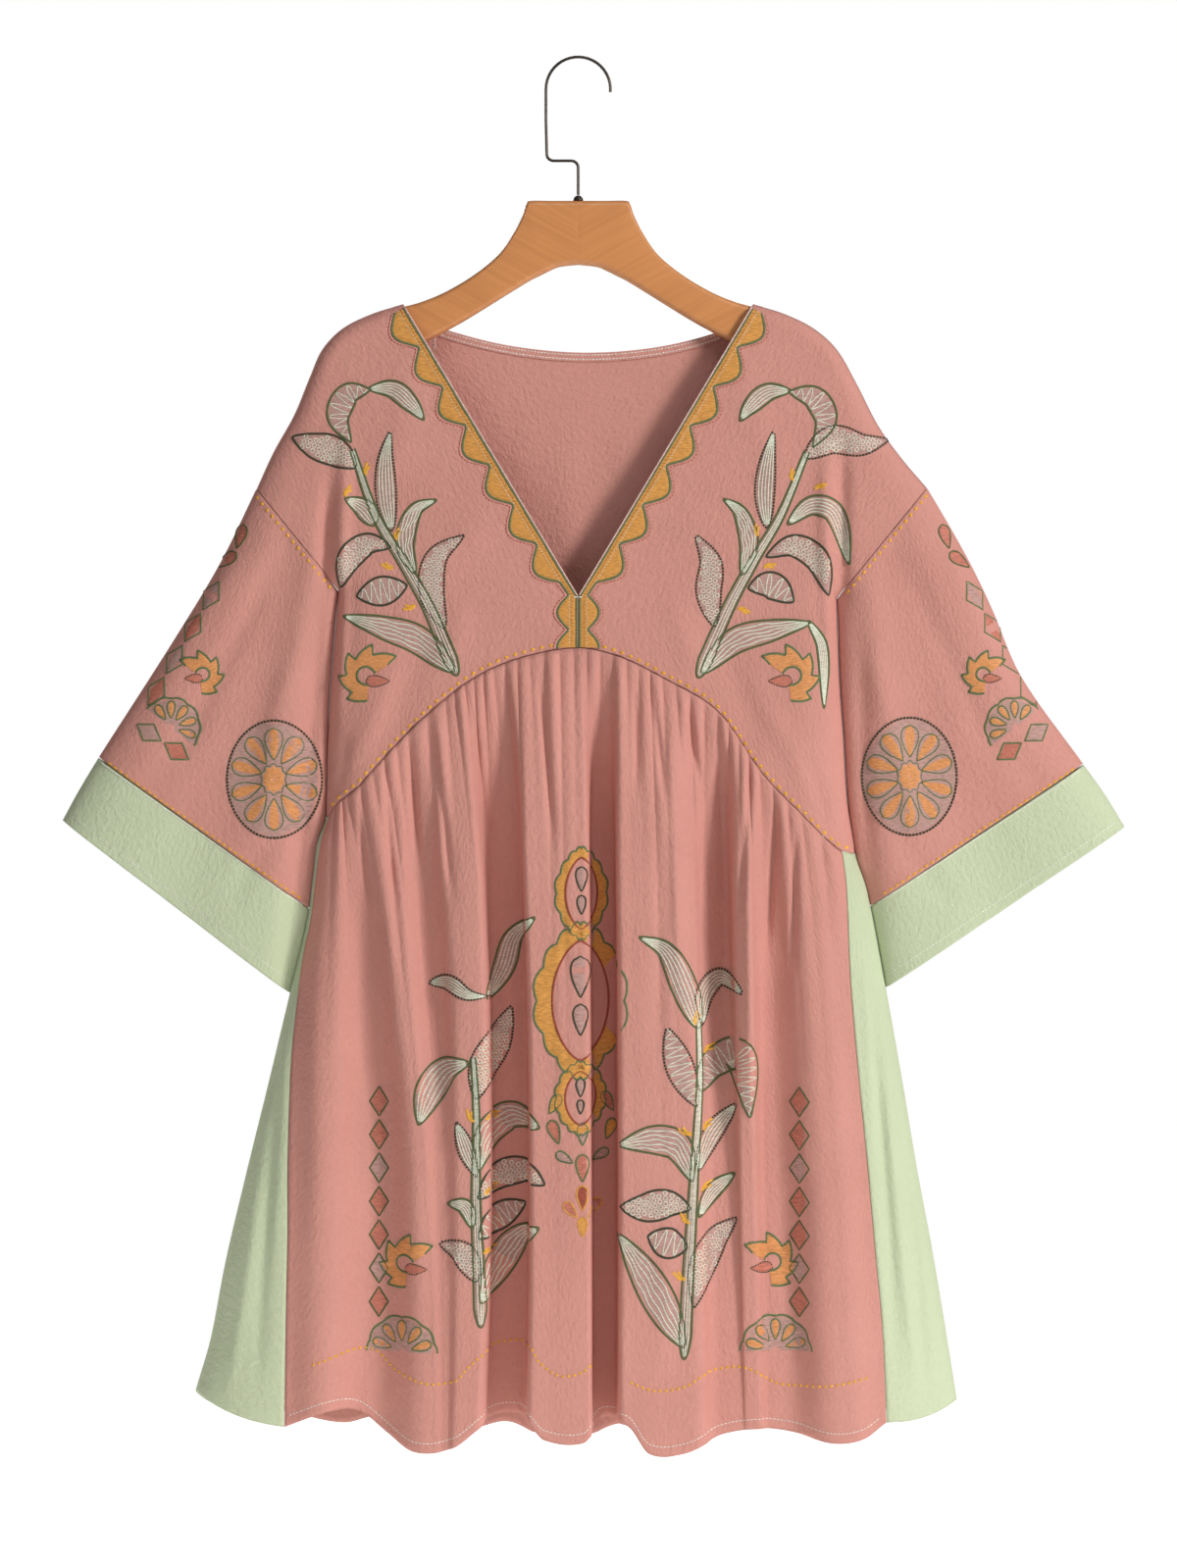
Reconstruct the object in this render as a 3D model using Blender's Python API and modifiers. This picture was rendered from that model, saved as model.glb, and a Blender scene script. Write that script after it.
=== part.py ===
"""Babydoll dress with wide drop-shoulder sleeves, hanging on a wooden hanger.

Metres, +Z up. The front faces -Y and the origin is the inside top of the wire hook.
Sizes below are millimetres and become metres when a mesh is placed.
"""

import math

import bmesh
import bpy
from mathutils import Vector

MM = 0.001
FRONT = -1
BACK = 1
LEFT = "left"
RIGHT = "right"
SIDES = (LEFT, RIGHT)

# Cloth: wall thickness, half of the slit between two sewn pieces, and room under the arm
CLOTH_WALL = 1.2
HALF_SEAM = 0.2
WAIST_SEAM = 0.7
UNDERARM_ROOM = 1.6
SLEEVE_ROOM = 2.8

# Hook and hanger
HOOK_RADIUS = 24.0
WIRE_DIAMETER = 2.2
SHANK_FOOT_Z = -70.0
CRANK_Z = -76.2
CRANK_BEND = 5.0
WIRE_END_Z = -101.6
COLLAR_RADIUS = 3.8
COLLAR_HEIGHT = 4.0
PLATE_TOP_Z = -106.2
HANGER_THICKNESS = 12.0
HANGER_ROUNDING = 4.6
JOINT_GAP = 0.3

# Stations along a hanger half, from the joint to the cloth: x and z above, x and z below
HANGER_OPEN = ((0.15, -106.2, 0.15, -153.5), (20, -106.2, 14, -155.2),
               (35.4, -106.2, 22, -158.5), (38.6, -108.6, 28, -161.5), (41.5, -117, 36, -165.5),
               (48, -130, 50, -174), (59, -146, 66, -184), (77, -161, 84, -195),
               (98, -173.6, 104, -206), (116, -181.2, 120, -214))
# Under the cloth its upper edge follows the shoulder: share of the shoulder, x and z below
HANGER_COVERED = ((0.01, 134, -219.5), (0.07, 146, -223.5), (0.13, 157, -226.8),
                  (0.19, 166, -229), (0.25, 172, -230.6), (0.3, 176, -231.2))
HANGER_END = ((184.4, -216, 181.5, -229.5), (186, -220.5, 185, -225.5))
HANGER_END_THICKNESS = (0.93, 0.6)
HANGER_ROOM = 1.4

# Front view outlines: x, z. The shoulder runs from the neck point to the armhole seam.
SHOULDER = {
    LEFT: ((-130, -183.6), (-153, -190.6), (-175, -201.5), (-190, -217), (-199, -237),
           (-211, -266), (-226, -293), (-239, -321)),
    RIGHT: ((130, -183.6), (153, -190.6), (175, -201.5), (192, -217), (207, -243),
            (223, -274), (241, -299), (259, -320)),
}
SLEEVE_OUTER = {
    LEFT: ((-239, -321), (-266, -376), (-299, -431), (-356, -520)),
    RIGHT: ((259, -320), (289, -372), (307, -409), (329, -460), (375, -525)),
}
CUFF_OUTER = {
    LEFT: ((-356.4, -520.8), (-371, -545), (-383, -567)),
    RIGHT: ((375.4, -525.8), (392, -549), (406, -572)),
}
SIDE_OUTLINE = {
    LEFT: ((-178, -396), (-185, -489), (-187, -565), (-193, -582), (-196, -605), (-201, -642),
           (-214, -696), (-230, -763), (-247, -832), (-262, -896), (-273, -953), (-284, -991),
           (-291, -1020)),
    RIGHT: ((192, -402), (194, -461), (197, -505), (200, -553), (205.5, -592), (214, -618),
            (226, -679), (240, -757), (251, -823), (263, -887), (275, -959), (281, -997),
            (285, -1020)),
}
GORE_SEAM = {
    LEFT: ((-184.5, -563), (-190.4, -582), (-198.5, -642), (-203.5, -665), (-209, -711),
           (-212, -745), (-214, -815), (-214, -872), (-215, -930), (-216, -1013)),
    RIGHT: ((195, -588.6), (198, -613), (201, -685), (207, -757), (214, -829), (219, -887),
            (224, -942), (227, -1010)),
}
SLEEVE_SEAM_Z = {LEFT: -632.0, RIGHT: -630.0}
CUFF_EDGE_Z = {LEFT: -695.0, RIGHT: -691.0}
GORE_HEM_OUTER = {LEFT: (-284, -991), RIGHT: (281, -997)}
GORE_HEM_SAG = 4.0
GORE_EDGE_PULL = 0.6
CUFF_BACK_DROP = 2.5

# Necklines and the raised waist seam of front and back
V_FOOT_Z = -400.0
SLIT_FOOT_Z = -439.0
FRONT_WAIST = ((-187, -565), (-177, -553), (-163, -542), (-148, -525), (-116, -492),
               (-80, -463), (-45, -447), (0, -439), (32, -446), (72, -466), (95, -479),
               (108, -491), (120, -508), (131, -525), (145, -542), (161, -558), (191, -587),
               (205.5, -592))
BACK_WAIST = ((-187, -565), (-168, -550), (-140, -534), (-100, -518), (-50, -505), (5, -501),
              (60, -507), (110, -525), (155, -556), (182, -578), (205.5, -592))
BACK_NECK = ((-130, -183.6), (-114, -194), (-95, -202), (-50, -213), (3, -218), (55, -214.5),
             (100, -204), (116, -195), (130, -183.6))
BINDING_WIDTH = 6.6
BINDING_WALL = 1.8
BINDING_STOPS = (0.09, 0.2, 0.35, 0.5, 0.65, 0.8, 0.91)
BINDING_END_SHARE = 0.038
SHOULDER_LENGTH = 185.0

# Body sections from the shoulder down: z, half depth, width over which an edge rounds
BODY_SECTIONS = ((-180, 10, 9), (-235, 10.5, 11), (-320, 12, 24), (-400, 15, 28), (-470, 19, 32),
                 (-590, 24, 40), (-800, 32, 62), (-1040, 40, 85))
SLEEVE_SECTIONS = ((-180, 10, 9), (-235, 10.5, 11), (-320, 12, 24), (-400, 15, 28),
                   (-520, 14.5, 30), (-700, 14, 30))

# Skirt folds, a row for each crest or valley line: x at seam, middle and hem; how far it
# stands out a quarter of the way down, at 0.6 and at the hem; gathers up to the next line;
# and how steep the flank to the next line is, 0 soft to 0.15 upright
FRONT_FOLDS = (
    (-184.5, -213, -216, 0, 0, 0, 1, 0.00),
    (-179, -188, -191, 3, 5, 8, 2, 0.02),
    (-170, -147, -157, -6, -11, -10, 2, 0.03),
    (-152, -118, -106, 6, 9, 11, 3, 0.04),
    (-126, -104, -98, -8, 4, 9, 2, 0.06),
    (-98, -84, -88, 9, 11, 12, 5, 0.15),
    (-63, -47, -51, -20, -22, -22, 3, 0.15),
    (-36, -26, -25, 8, 10, 11, 3, 0.00),
    (-3, 0, 3, 9, 12, 12, 2, 0.15),
    (16, 18, 17, -22, -25, -25, 2, 0.15),
    (36, 41, 42, 8, 10, 11, 3, 0.00),
    (62, 72, 75, 7, 9, 10, 4, 0.10),
    (104, 110, 116, -17, -9, -5, 2, 0.12),
    (119, 124, 130, 6, 1, -4, 2, 0.06),
    (134, 140, 144, -9, -12, -10, 3, 0.05),
    (165, 186, 199, 5, 6, 8, 2, 0.02),
    (195, 211, 227, 0, 0, 0, 0, 0.00),
)
BACK_FOLDS = (
    (-184.5, -213, -216, 0, 0, 0, 2, 0.00),
    (-150, -172, -176, 4, 7, 9, 3, 0.04),
    (-118, -136, -139, -3, -6, -9, 3, 0.06),
    (-82, -94, -97, 4, 8, 11, 4, 0.09),
    (-42, -49, -53, -5, -10, -13, 3, 0.10),
    (-8, -9, -11, 5, 10, 13, 4, 0.08),
    (34, 33, 31, -4, -8, -11, 3, 0.06),
    (72, 77, 79, 4, 8, 10, 3, 0.05),
    (112, 121, 124, -4, -8, -10, 3, 0.06),
    (150, 168, 175, 4, 7, 9, 2, 0.04),
    (195, 211, 227, 0, 0, 0, 0, 0.00),
)
FOLD_STOPS = (0.0, 0.25, 0.6, 1.0)

# Hem heights by x at the hem, front and back
FRONT_HEM = ((-216, -1013), (-184, -1001), (-162, -1002), (-140, -1018), (-120, -1030),
             (-92, -1027), (-67, -1009), (-50, -1005), (-37, -1009), (-25, -1021), (4, -1023),
             (16, -1010), (27, -1009), (38, -1012), (52, -1031), (78, -1031), (106, -1019),
             (134, -1015), (160, -1018), (187, -1024), (210, -1021), (227, -1010))
BACK_HEM = ((-216, -1013), (-176, -1022), (-139, -1012), (-97, -1030), (-53, -1018),
            (-11, -1038), (31, -1020), (79, -1032), (124, -1016), (175, -1024), (227, -1010))

# Gathers under the waist seam: height, its share at the seam itself, and its fade
GATHER_HEIGHT = 3.4
GATHER_AT_SEAM = 0.15
GATHER_SWELL = 0.035
GATHER_FADE = 0.13
SOFT_SLEEVE_FOLD = 2.2

# Rows and columns of each cloth grid, as shares of its width or height
SEAM_STEPS = (0.0, 0.0012, 0.018, 0.07, 0.16)
BODICE_COLUMNS = SEAM_STEPS + tuple(0.16 + 0.84 * step / 17 for step in range(1, 18))
UNDERARM_ROW = 0.63
BODICE_ROWS = (0.0, 0.13, 0.27, 0.41, 0.53, UNDERARM_ROW, 0.72, 0.81, 0.9, 0.957, 0.989,
               0.9993, 1.0)
NECK_START = 0.27
NECK_HALF = (0.0, 0.0015, 0.012, 0.045, 0.1, 0.18, 0.28, 0.39)
NECK_COLUMNS = NECK_HALF + (0.5,) + tuple(1 - share for share in reversed(NECK_HALF))
SHOULDER_COLUMNS = (0.0, 0.0006, 0.009, 0.035, 0.075, 0.11, 0.14, 0.16, 0.175, 0.19, 0.205,
                    0.222, 0.245)
BACK_COLUMNS = (SHOULDER_COLUMNS
                + tuple(NECK_START + (1 - 2 * NECK_START) * share for share in NECK_COLUMNS)
                + tuple(1 - share for share in reversed(SHOULDER_COLUMNS)))
SLEEVE_SPOKES = 22
SLEEVE_ROWS = (0.0, 0.1, 0.22, 0.36, 0.5, 0.64, 0.78, 0.9, 1.0)
CUFF_ROWS = (0.0, 0.5, 1.0)
SKIRT_ROWS = (0.0, 0.025, 0.07, 0.14, 0.23, 0.35, 0.5, 0.66, 0.83, 1.0)
GORE_HALF_STEPS = 4
COLUMNS_PER_GATHER = {FRONT: 3, BACK: 2}

COLLECTION = "babydoll_dress_on_hanger"


class Line:
    """A smooth line through a few points, read by its share of length."""

    def __init__(self, points):
        self.points = [Vector(point) for point in points]
        lengths = [0.0]
        for first, second in zip(self.points, self.points[1:]):
            lengths.append(lengths[-1] + (second - first).length)
        self.stops = [length / lengths[-1] for length in lengths]

    def slope(self, index):
        before = max(index - 1, 0)
        after = min(index + 1, len(self.points) - 1)
        return (self.points[after] - self.points[before]) / (self.stops[after] - self.stops[before])

    def at(self, share):
        index = 0
        while index < len(self.stops) - 2 and share > self.stops[index + 1]:
            index += 1
        span = self.stops[index + 1] - self.stops[index]
        t = (share - self.stops[index]) / span
        start, end = self.points[index], self.points[index + 1]
        curve = (2 * t ** 3 - 3 * t ** 2 + 1) * start + (3 * t ** 2 - 2 * t ** 3) * end
        curve += (t ** 3 - 2 * t ** 2 + t) * span * self.slope(index)
        return curve + (t ** 3 - t ** 2) * span * self.slope(index + 1)

    def drawn(self, steps=8):
        """The line as short straight runs, for measuring distances."""
        count = (len(self.points) - 1) * steps
        return [self.at(step / count) for step in range(count + 1)]


def read_table(rows, at, column=1):
    """The value of a column where the first column is `at`, smoothly between rows."""
    keys = [row[0] for row in rows]
    at = min(max(at, min(keys)), max(keys))
    index = 0
    rising = keys[-1] > keys[0]
    while index < len(rows) - 2 and (at > keys[index + 1]) == rising and at != keys[index + 1]:
        index += 1

    def tangent(k):
        low, high = max(k - 1, 0), min(k + 1, len(rows) - 1)
        return (rows[high][column] - rows[low][column]) / (keys[high] - keys[low])

    span = keys[index + 1] - keys[index]
    t = (at - keys[index]) / span
    value = (2 * t ** 3 - 3 * t ** 2 + 1) * rows[index][column]
    value += (3 * t ** 2 - 2 * t ** 3) * rows[index + 1][column]
    value += (t ** 3 - 2 * t ** 2 + t) * span * tangent(index)
    return value + (t ** 3 - t ** 2) * span * tangent(index + 1)


def side_x(side, z):
    """The body's outline at a height."""
    rows = [(point[1], point[0]) for point in SIDE_OUTLINE[side]]
    return read_table(rows, z)


def gore_seam_x(side, z):
    """The seam between skirt and gore at a height."""
    rows = [(point[1], point[0]) for point in GORE_SEAM[side]]
    return read_table(rows, z)


def distance(point, runs):
    """The shortest way from a point of the front view to a drawn line."""
    shortest = 1e9
    for start, end in zip(runs, runs[1:]):
        run = end - start
        share = (point - start).dot(run) / run.length_squared
        nearest = start + run * min(max(share, 0.0), 1.0)
        shortest = min(shortest, (point - nearest).length)
    return shortest


OUTER_RUNS = {}
SIDE_RUNS = {}
INNER_RUNS = {}
for arm in SIDES:
    away = -1 if arm == LEFT else 1
    OUTER_RUNS[arm] = Line(SHOULDER[arm] + SLEEVE_OUTER[arm][1:] + CUFF_OUTER[arm][1:]).drawn()
    SIDE_RUNS[arm] = Line(SIDE_OUTLINE[arm]).drawn()
    INNER_RUNS[arm] = [run + Vector((away * SLEEVE_ROOM, 0)) for run in SIDE_RUNS[arm]]


def stand_off(point, side, sleeve=False):
    """Half the garment's depth at a point: full inside, rounding to nothing at an outline."""
    sections = SLEEVE_SECTIONS if sleeve else BODY_SECTIONS
    full = read_table(sections, point[1], 1)
    rounding = read_table(sections, point[1], 2)
    edges = (OUTER_RUNS[side], INNER_RUNS[side] if sleeve else SIDE_RUNS[side])
    near = min(distance(Vector(point), edge) for edge in edges)
    share = min(near / rounding, 1.0)
    return full * math.sqrt(1 - (1 - share) ** 2)


def body_point(point, face, out=0.0):
    """A point of the body's cloth over a place in the front view."""
    side = LEFT if point[0] < 0 else RIGHT
    y = face * (HALF_SEAM + stand_off(point, side) + out)
    return Vector((point[0], y, point[1]))


def patch(bottom, top, left, right):
    """A four-sided piece of the front view between four edge lines."""

    def place(s, t):
        point = (1 - t) * bottom(s) + t * top(s) + (1 - s) * left(t) + s * right(t)
        corners = (1 - s) * ((1 - t) * bottom(0) + t * top(0))
        return point - corners - s * ((1 - t) * bottom(1) + t * top(1))

    return place


def joined(*parts):
    """One edge from several lines, each given with the share at which it ends."""

    def at(share):
        start = 0.0
        for end, line in parts:
            if share <= end or end == parts[-1][0]:
                return line.at((share - start) / (end - start))
            start = end

    return at


def armhole(side, share, gap):
    """The drop-shoulder seam from the shoulder (0) to the underarm (1), moved by a gap."""
    top = Vector(SHOULDER[side][-1])
    foot = Vector(SIDE_OUTLINE[side][0])
    run = (foot - top).normalized()
    inward = Vector((-run.y, run.x)) if side == LEFT else Vector((run.y, -run.x))
    return top.lerp(foot, share) + inward * gap


def bodice_outer_edge(side):
    """Waist seam end, up the side seam and out along the armhole to the shoulder."""
    waist_z = FRONT_WAIST[0][1] if side == LEFT else FRONT_WAIST[-1][1]
    stop = sum(1 for point in SIDE_OUTLINE[side] if point[1] > waist_z)
    under = armhole(side, 1, HALF_SEAM)
    up_side = Line([(side_x(side, waist_z), waist_z)]
                   + [point for point in reversed(SIDE_OUTLINE[side][1:stop])] + [under])
    up_armhole = Line([under, armhole(side, 0, HALF_SEAM)])
    return joined((UNDERARM_ROW, up_side), (1.0, up_armhole))


def waist_edge(rows, start_x, end_x):
    """The yoke's lower edge between two places across the body."""

    def at(share):
        x = start_x + (end_x - start_x) * share
        return Vector((x, read_table(rows, x)))

    return at


def waist_stops(face):
    """Where the yoke's columns meet its lower edge, so that the skirt can follow them."""
    if face == BACK:
        edge = waist_edge(BACK_WAIST, BACK_WAIST[0][0], BACK_WAIST[-1][0])
        return [edge(share) for share in BACK_COLUMNS]
    left = waist_edge(FRONT_WAIST, FRONT_WAIST[0][0], -HALF_SEAM)
    right = waist_edge(FRONT_WAIST, FRONT_WAIST[-1][0], HALF_SEAM)
    return ([left(share) for share in BODICE_COLUMNS]
            + [right(share) for share in reversed(BODICE_COLUMNS)])


def waist_height(stops, x):
    """The height of the yoke's lower edge over a place, along its straight facets."""
    index = 0
    while index < len(stops) - 2 and x > stops[index + 1].x:
        index += 1
    start, end = stops[index], stops[index + 1]
    return start.y + (end.y - start.y) * (x - start.x) / (end.x - start.x)


def shoulder_line(side):
    return Line(SHOULDER[side][:-1] + (tuple(armhole(side, 0, HALF_SEAM)),))


def make_material(name, colour, roughness, metallic=0.0):
    material = bpy.data.materials.new(name)
    material.use_nodes = True
    shader = material.node_tree.nodes["Principled BSDF"]
    shader.inputs["Base Color"].default_value = (*colour, 1.0)
    shader.inputs["Roughness"].default_value = roughness
    shader.inputs["Metallic"].default_value = metallic
    return material


def add_object(name, mesh, material, collection):
    mesh.materials.append(material)
    piece = bpy.data.objects.new(name, mesh)
    collection.objects.link(piece)
    return piece


def cloth_grid(name, columns, rows, place, material, collection, wall=CLOTH_WALL, tube=False):
    """A sewn piece: a grid laid on its surface and given the cloth's thickness."""
    bm = bmesh.new()
    bmesh.ops.create_grid(bm, x_segments=len(columns) - 1, y_segments=len(rows) - 1, size=1.0)
    for vertex in bm.verts:
        column = round((vertex.co.x + 1) / 2 * (len(columns) - 1))
        row = round((vertex.co.y + 1) / 2 * (len(rows) - 1))
        vertex.co = place(columns[column], rows[row]) * MM
    if tube:
        bmesh.ops.remove_doubles(bm, verts=bm.verts[:], dist=1e-7)
    mesh = bpy.data.meshes.new(name)
    bm.to_mesh(mesh)
    bm.free()
    piece = add_object(name, mesh, material, collection)
    solidify = piece.modifiers.new("cloth", "SOLIDIFY")
    solidify.thickness = wall * MM
    solidify.offset = 0.0
    return piece


def make_front_bodice(side, material, collection):
    """One side of the yoke, from the V neck and its slit out to the armhole."""
    across = -1 if side == LEFT else 1
    waist_end = FRONT_WAIST[0][0] if side == LEFT else FRONT_WAIST[-1][0]
    middle = Vector((across * HALF_SEAM, SLIT_FOOT_Z))
    v_foot = Vector((across * HALF_SEAM, V_FOOT_Z))
    neck_point = Vector(SHOULDER[side][0])
    neck_edge = joined((0.16, Line([middle, v_foot])), (1.0, Line([v_foot, neck_point])))
    shoulder = shoulder_line(side)
    surface = patch(waist_edge(FRONT_WAIST, waist_end, middle.x), lambda s: shoulder.at(1 - s),
                    bodice_outer_edge(side), neck_edge)
    cloth_grid(f"front_bodice_{side}", BODICE_COLUMNS, BODICE_ROWS,
               lambda s, t: body_point(surface(s, t), FRONT), material, collection)


def binding_foot(gap):
    """Lower edge of the neck binding, from shoulder line to shoulder line, moved by a gap."""
    upper = Line(BACK_NECK)
    width = BINDING_WIDTH + gap
    points = []
    for share in BINDING_STOPS:
        ahead = upper.at(share + 0.01) - upper.at(share - 0.01)
        points.append(upper.at(share) + Vector((ahead.y, -ahead.x)).normalized() * width)
    ends = [Line(SHOULDER[side]).at(BINDING_END_SHARE + gap / SHOULDER_LENGTH) for side in SIDES]
    return Line([ends[0]] + points + [ends[1]])


def make_back_bodice(material, collection):
    """The back yoke in one piece, up to the neck binding."""
    neck = binding_foot(2 * HALF_SEAM)
    tops = {}
    for side in SIDES:
        start = neck.points[0] if side == LEFT else neck.points[-1]
        tops[side] = [start] + [Vector(p) for p in SHOULDER[side][1:-1]]
        tops[side].append(armhole(side, 0, HALF_SEAM))
    left_top = Line(list(reversed(tops[LEFT])))
    top = joined((NECK_START, left_top), (1 - NECK_START, neck), (1.0, Line(tops[RIGHT])))
    waist = waist_edge(BACK_WAIST, BACK_WAIST[0][0], BACK_WAIST[-1][0])
    surface = patch(waist, top, bodice_outer_edge(LEFT), bodice_outer_edge(RIGHT))
    cloth_grid("back_bodice", BACK_COLUMNS, BODICE_ROWS,
               lambda s, t: body_point(surface(s, t), BACK), material, collection)


def make_back_neck_binding(material, collection):
    """The folded band along the back neckline."""
    upper = Line(BACK_NECK)
    lower = binding_foot(0.0)

    def place(share, t):
        return body_point(upper.at(share).lerp(lower.at(share), t), BACK)

    cloth_grid("back_neck_binding", NECK_COLUMNS, (0.0, 0.5, 1.0), place, material, collection,
               wall=BINDING_WALL)


def ring_share(turn):
    """How far a sleeve ring's point lies from the outer fold (0) to the inner fold (1)."""
    return (1 - math.cos(2 * math.pi * turn)) / 2


def sleeve_tube(name, outer, inner, lift, rows, side, material, collection, back_drop=0.0):
    """A flattened tube between an outer and an inner fold line."""
    spokes = [spoke / SLEEVE_SPOKES for spoke in range(SLEEVE_SPOKES + 1)]

    def place(turn, t):
        turn = turn % 1.0
        share = ring_share(turn)
        face = FRONT if turn < 0.5 else BACK
        point = outer(t).lerp(inner(t), share) + lift(share, t)
        if face == BACK:
            point.y -= back_drop * math.sin(math.pi * share) * t
        y = stand_off(point, side, sleeve=True)
        y += SOFT_SLEEVE_FOLD * math.sin(3 * math.pi * share) * math.sin(math.pi * share) ** 2
        if share in (0.0, 1.0):
            y = 0.0
        return Vector((point.x, face * y, point.y))

    cloth_grid(name, spokes, rows, place, material, collection, tube=True)


def make_sleeve(side, material, collection):
    """The wide sleeve from the drop-shoulder seam to the cuff seam."""
    away = -1 if side == LEFT else 1
    start = armhole(side, 0, -HALF_SEAM)
    outer = Line([start] + [Vector(point) for point in SLEEVE_OUTER[side][1:]])
    under = armhole(side, 1, -HALF_SEAM) + Vector((away * UNDERARM_ROOM, -HALF_SEAM))

    def inner(t):
        z = under.y + (SLEEVE_SEAM_Z[side] - under.y) * t
        room = SLEEVE_ROOM - (SLEEVE_ROOM - UNDERARM_ROOM) * max(0.0, 1 - t / 0.1)
        return Vector((side_x(side, z) + away * room, z))

    def lift(share, t):
        """Keeps the top ring on the straight armhole seam until just before the underarm."""
        seam = armhole(side, share, -HALF_SEAM)
        chord = start.lerp(under, share)
        return (seam - chord) * (1 - share ** 10) * max(0.0, 1 - t / 0.1)

    sleeve_tube(f"sleeve_{side}", outer.at, inner, lift, SLEEVE_ROWS, side, material, collection)


def make_cuff(side, material, collection):
    """The green band sewn to the sleeve's end."""
    away = -1 if side == LEFT else 1
    outer = Line(CUFF_OUTER[side])
    along = (outer.points[-1] - outer.points[0]).normalized()
    start = outer.points[0] + along * HALF_SEAM
    outer = Line([start] + outer.points[1:])
    top = SLEEVE_SEAM_Z[side] - 4 * HALF_SEAM

    def inner(t):
        z = top + (CUFF_EDGE_Z[side] - top) * t
        return Vector((side_x(side, z) + away * SLEEVE_ROOM, z))

    sleeve_tube(f"cuff_{side}", outer.at, inner, lambda share, t: Vector((0, 0)), CUFF_ROWS,
                side, material, collection, back_drop=CUFF_BACK_DROP)


def fold_columns(folds, face):
    """Column places across a gathered panel: fold row, share to the next row, gather count."""
    columns = []
    count = 0
    for index, row in enumerate(folds[:-1]):
        steps = max(row[6] * COLUMNS_PER_GATHER[face], 3)
        for step in range(steps):
            columns.append((index, step / steps, count + row[6] * step / steps))
        count += row[6]
    columns.append((len(folds) - 2, 1.0, float(count)))
    return columns


def down_curve(seam, middle, hem, v):
    """A fold line's place on its way from the seam through the middle to the hem."""
    return seam * (1 - v) * (1 - 2 * v) + 4 * middle * v * (1 - v) + hem * v * (2 * v - 1)


def fold_out(row, v):
    """How far a fold line stands out of the panel at a share of its length."""
    return read_table(tuple(zip(FOLD_STOPS, (0.0,) + tuple(row[3:6]))), v)


def gather_out(count, v):
    """The small gathers: uneven ridges that swell below the seam and fade into the folds."""
    number = math.floor(count)
    fade = GATHER_FADE * (1 + 0.45 * math.sin(1.7 * number))
    height = GATHER_HEIGHT * (0.8 + 0.2 * math.sin(2.4 * number))
    swell = GATHER_AT_SEAM + (1 - GATHER_AT_SEAM) * min(v / GATHER_SWELL, 1.0)
    ridge = (1 - math.cos(2 * math.pi * count)) / 2
    return height * swell * ridge * math.exp(-v / fade)


def skirt_panel(name, folds, hem, face, material, collection):
    """A gathered panel between the gores, hung from the waist seam."""
    stops = waist_stops(face)

    def place(column, v):
        index, share, count = column
        first, second = folds[index], folds[index + 1]
        roll = first[7] * min(v / 0.25, 1.0)
        along = share + roll * math.sin(2 * math.pi * share)
        x = [first[k] + (second[k] - first[k]) * along for k in range(3)]
        top = waist_height(stops, x[0]) - WAIST_SEAM
        foot = read_table(hem, x[2])
        z = top + (foot - top) * v
        blend = (1 - math.cos(math.pi * share)) / 2
        out = fold_out(first, v) * (1 - blend) + fold_out(second, v) * blend
        at_edge = (index == 0 and share == 0) or (index == len(folds) - 2 and share == 1)
        out += 0.0 if at_edge else gather_out(count, v)
        place_x = down_curve(*x, v)
        if index == 0:
            seam_x = gore_seam_x(LEFT, z) + HALF_SEAM
            place_x += (seam_x - down_curve(*folds[0][:3], v)) * (1 - share)
        if index == len(folds) - 2:
            seam_x = gore_seam_x(RIGHT, z) - HALF_SEAM
            place_x += (seam_x - down_curve(*folds[-1][:3], v)) * share
        return body_point((place_x, z), face, out - HALF_SEAM)

    cloth_grid(name, fold_columns(folds, face), SKIRT_ROWS, place, material, collection)


def make_gore(side, material, collection):
    """The green godet, folded at the outline from its front seam round to its back seam."""
    away = -1 if side == LEFT else 1
    seam_top = GORE_SEAM[side][0][1] - WAIST_SEAM
    seam_foot = GORE_SEAM[side][-1][1]
    fold_top = (FRONT_WAIST[0] if side == LEFT else FRONT_WAIST[-1])[1] - WAIST_SEAM
    fold_foot = GORE_HEM_OUTER[side][1]
    turns = [step / GORE_HALF_STEPS for step in range(-GORE_HALF_STEPS, GORE_HALF_STEPS + 1)]

    def place(turn, t):
        reach = math.cos(turn * math.pi / 2)
        seam_z = seam_top + (seam_foot - seam_top) * t
        fold_z = fold_top + (fold_foot - fold_top) * t
        start = Vector((gore_seam_x(side, seam_z) + away * HALF_SEAM, seam_z))
        point = start.lerp(Vector((side_x(side, fold_z), fold_z)), reach)
        point.y -= GORE_HEM_SAG * math.sin(math.pi * reach) * t ** 4
        y = stand_off(point, side)
        if turn == 0:
            y = 0.0
        elif reach < 0.01:
            rounding = read_table(BODY_SECTIONS, point.y, 2)
            y -= GORE_EDGE_PULL * max(0.0, 1 - away * (side_x(side, point.y) - point.x) / rounding)
        return Vector((point.x, math.copysign(y, turn), point.y))

    cloth_grid(f"side_gore_{side}", turns, SKIRT_ROWS, place, material, collection)


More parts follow.
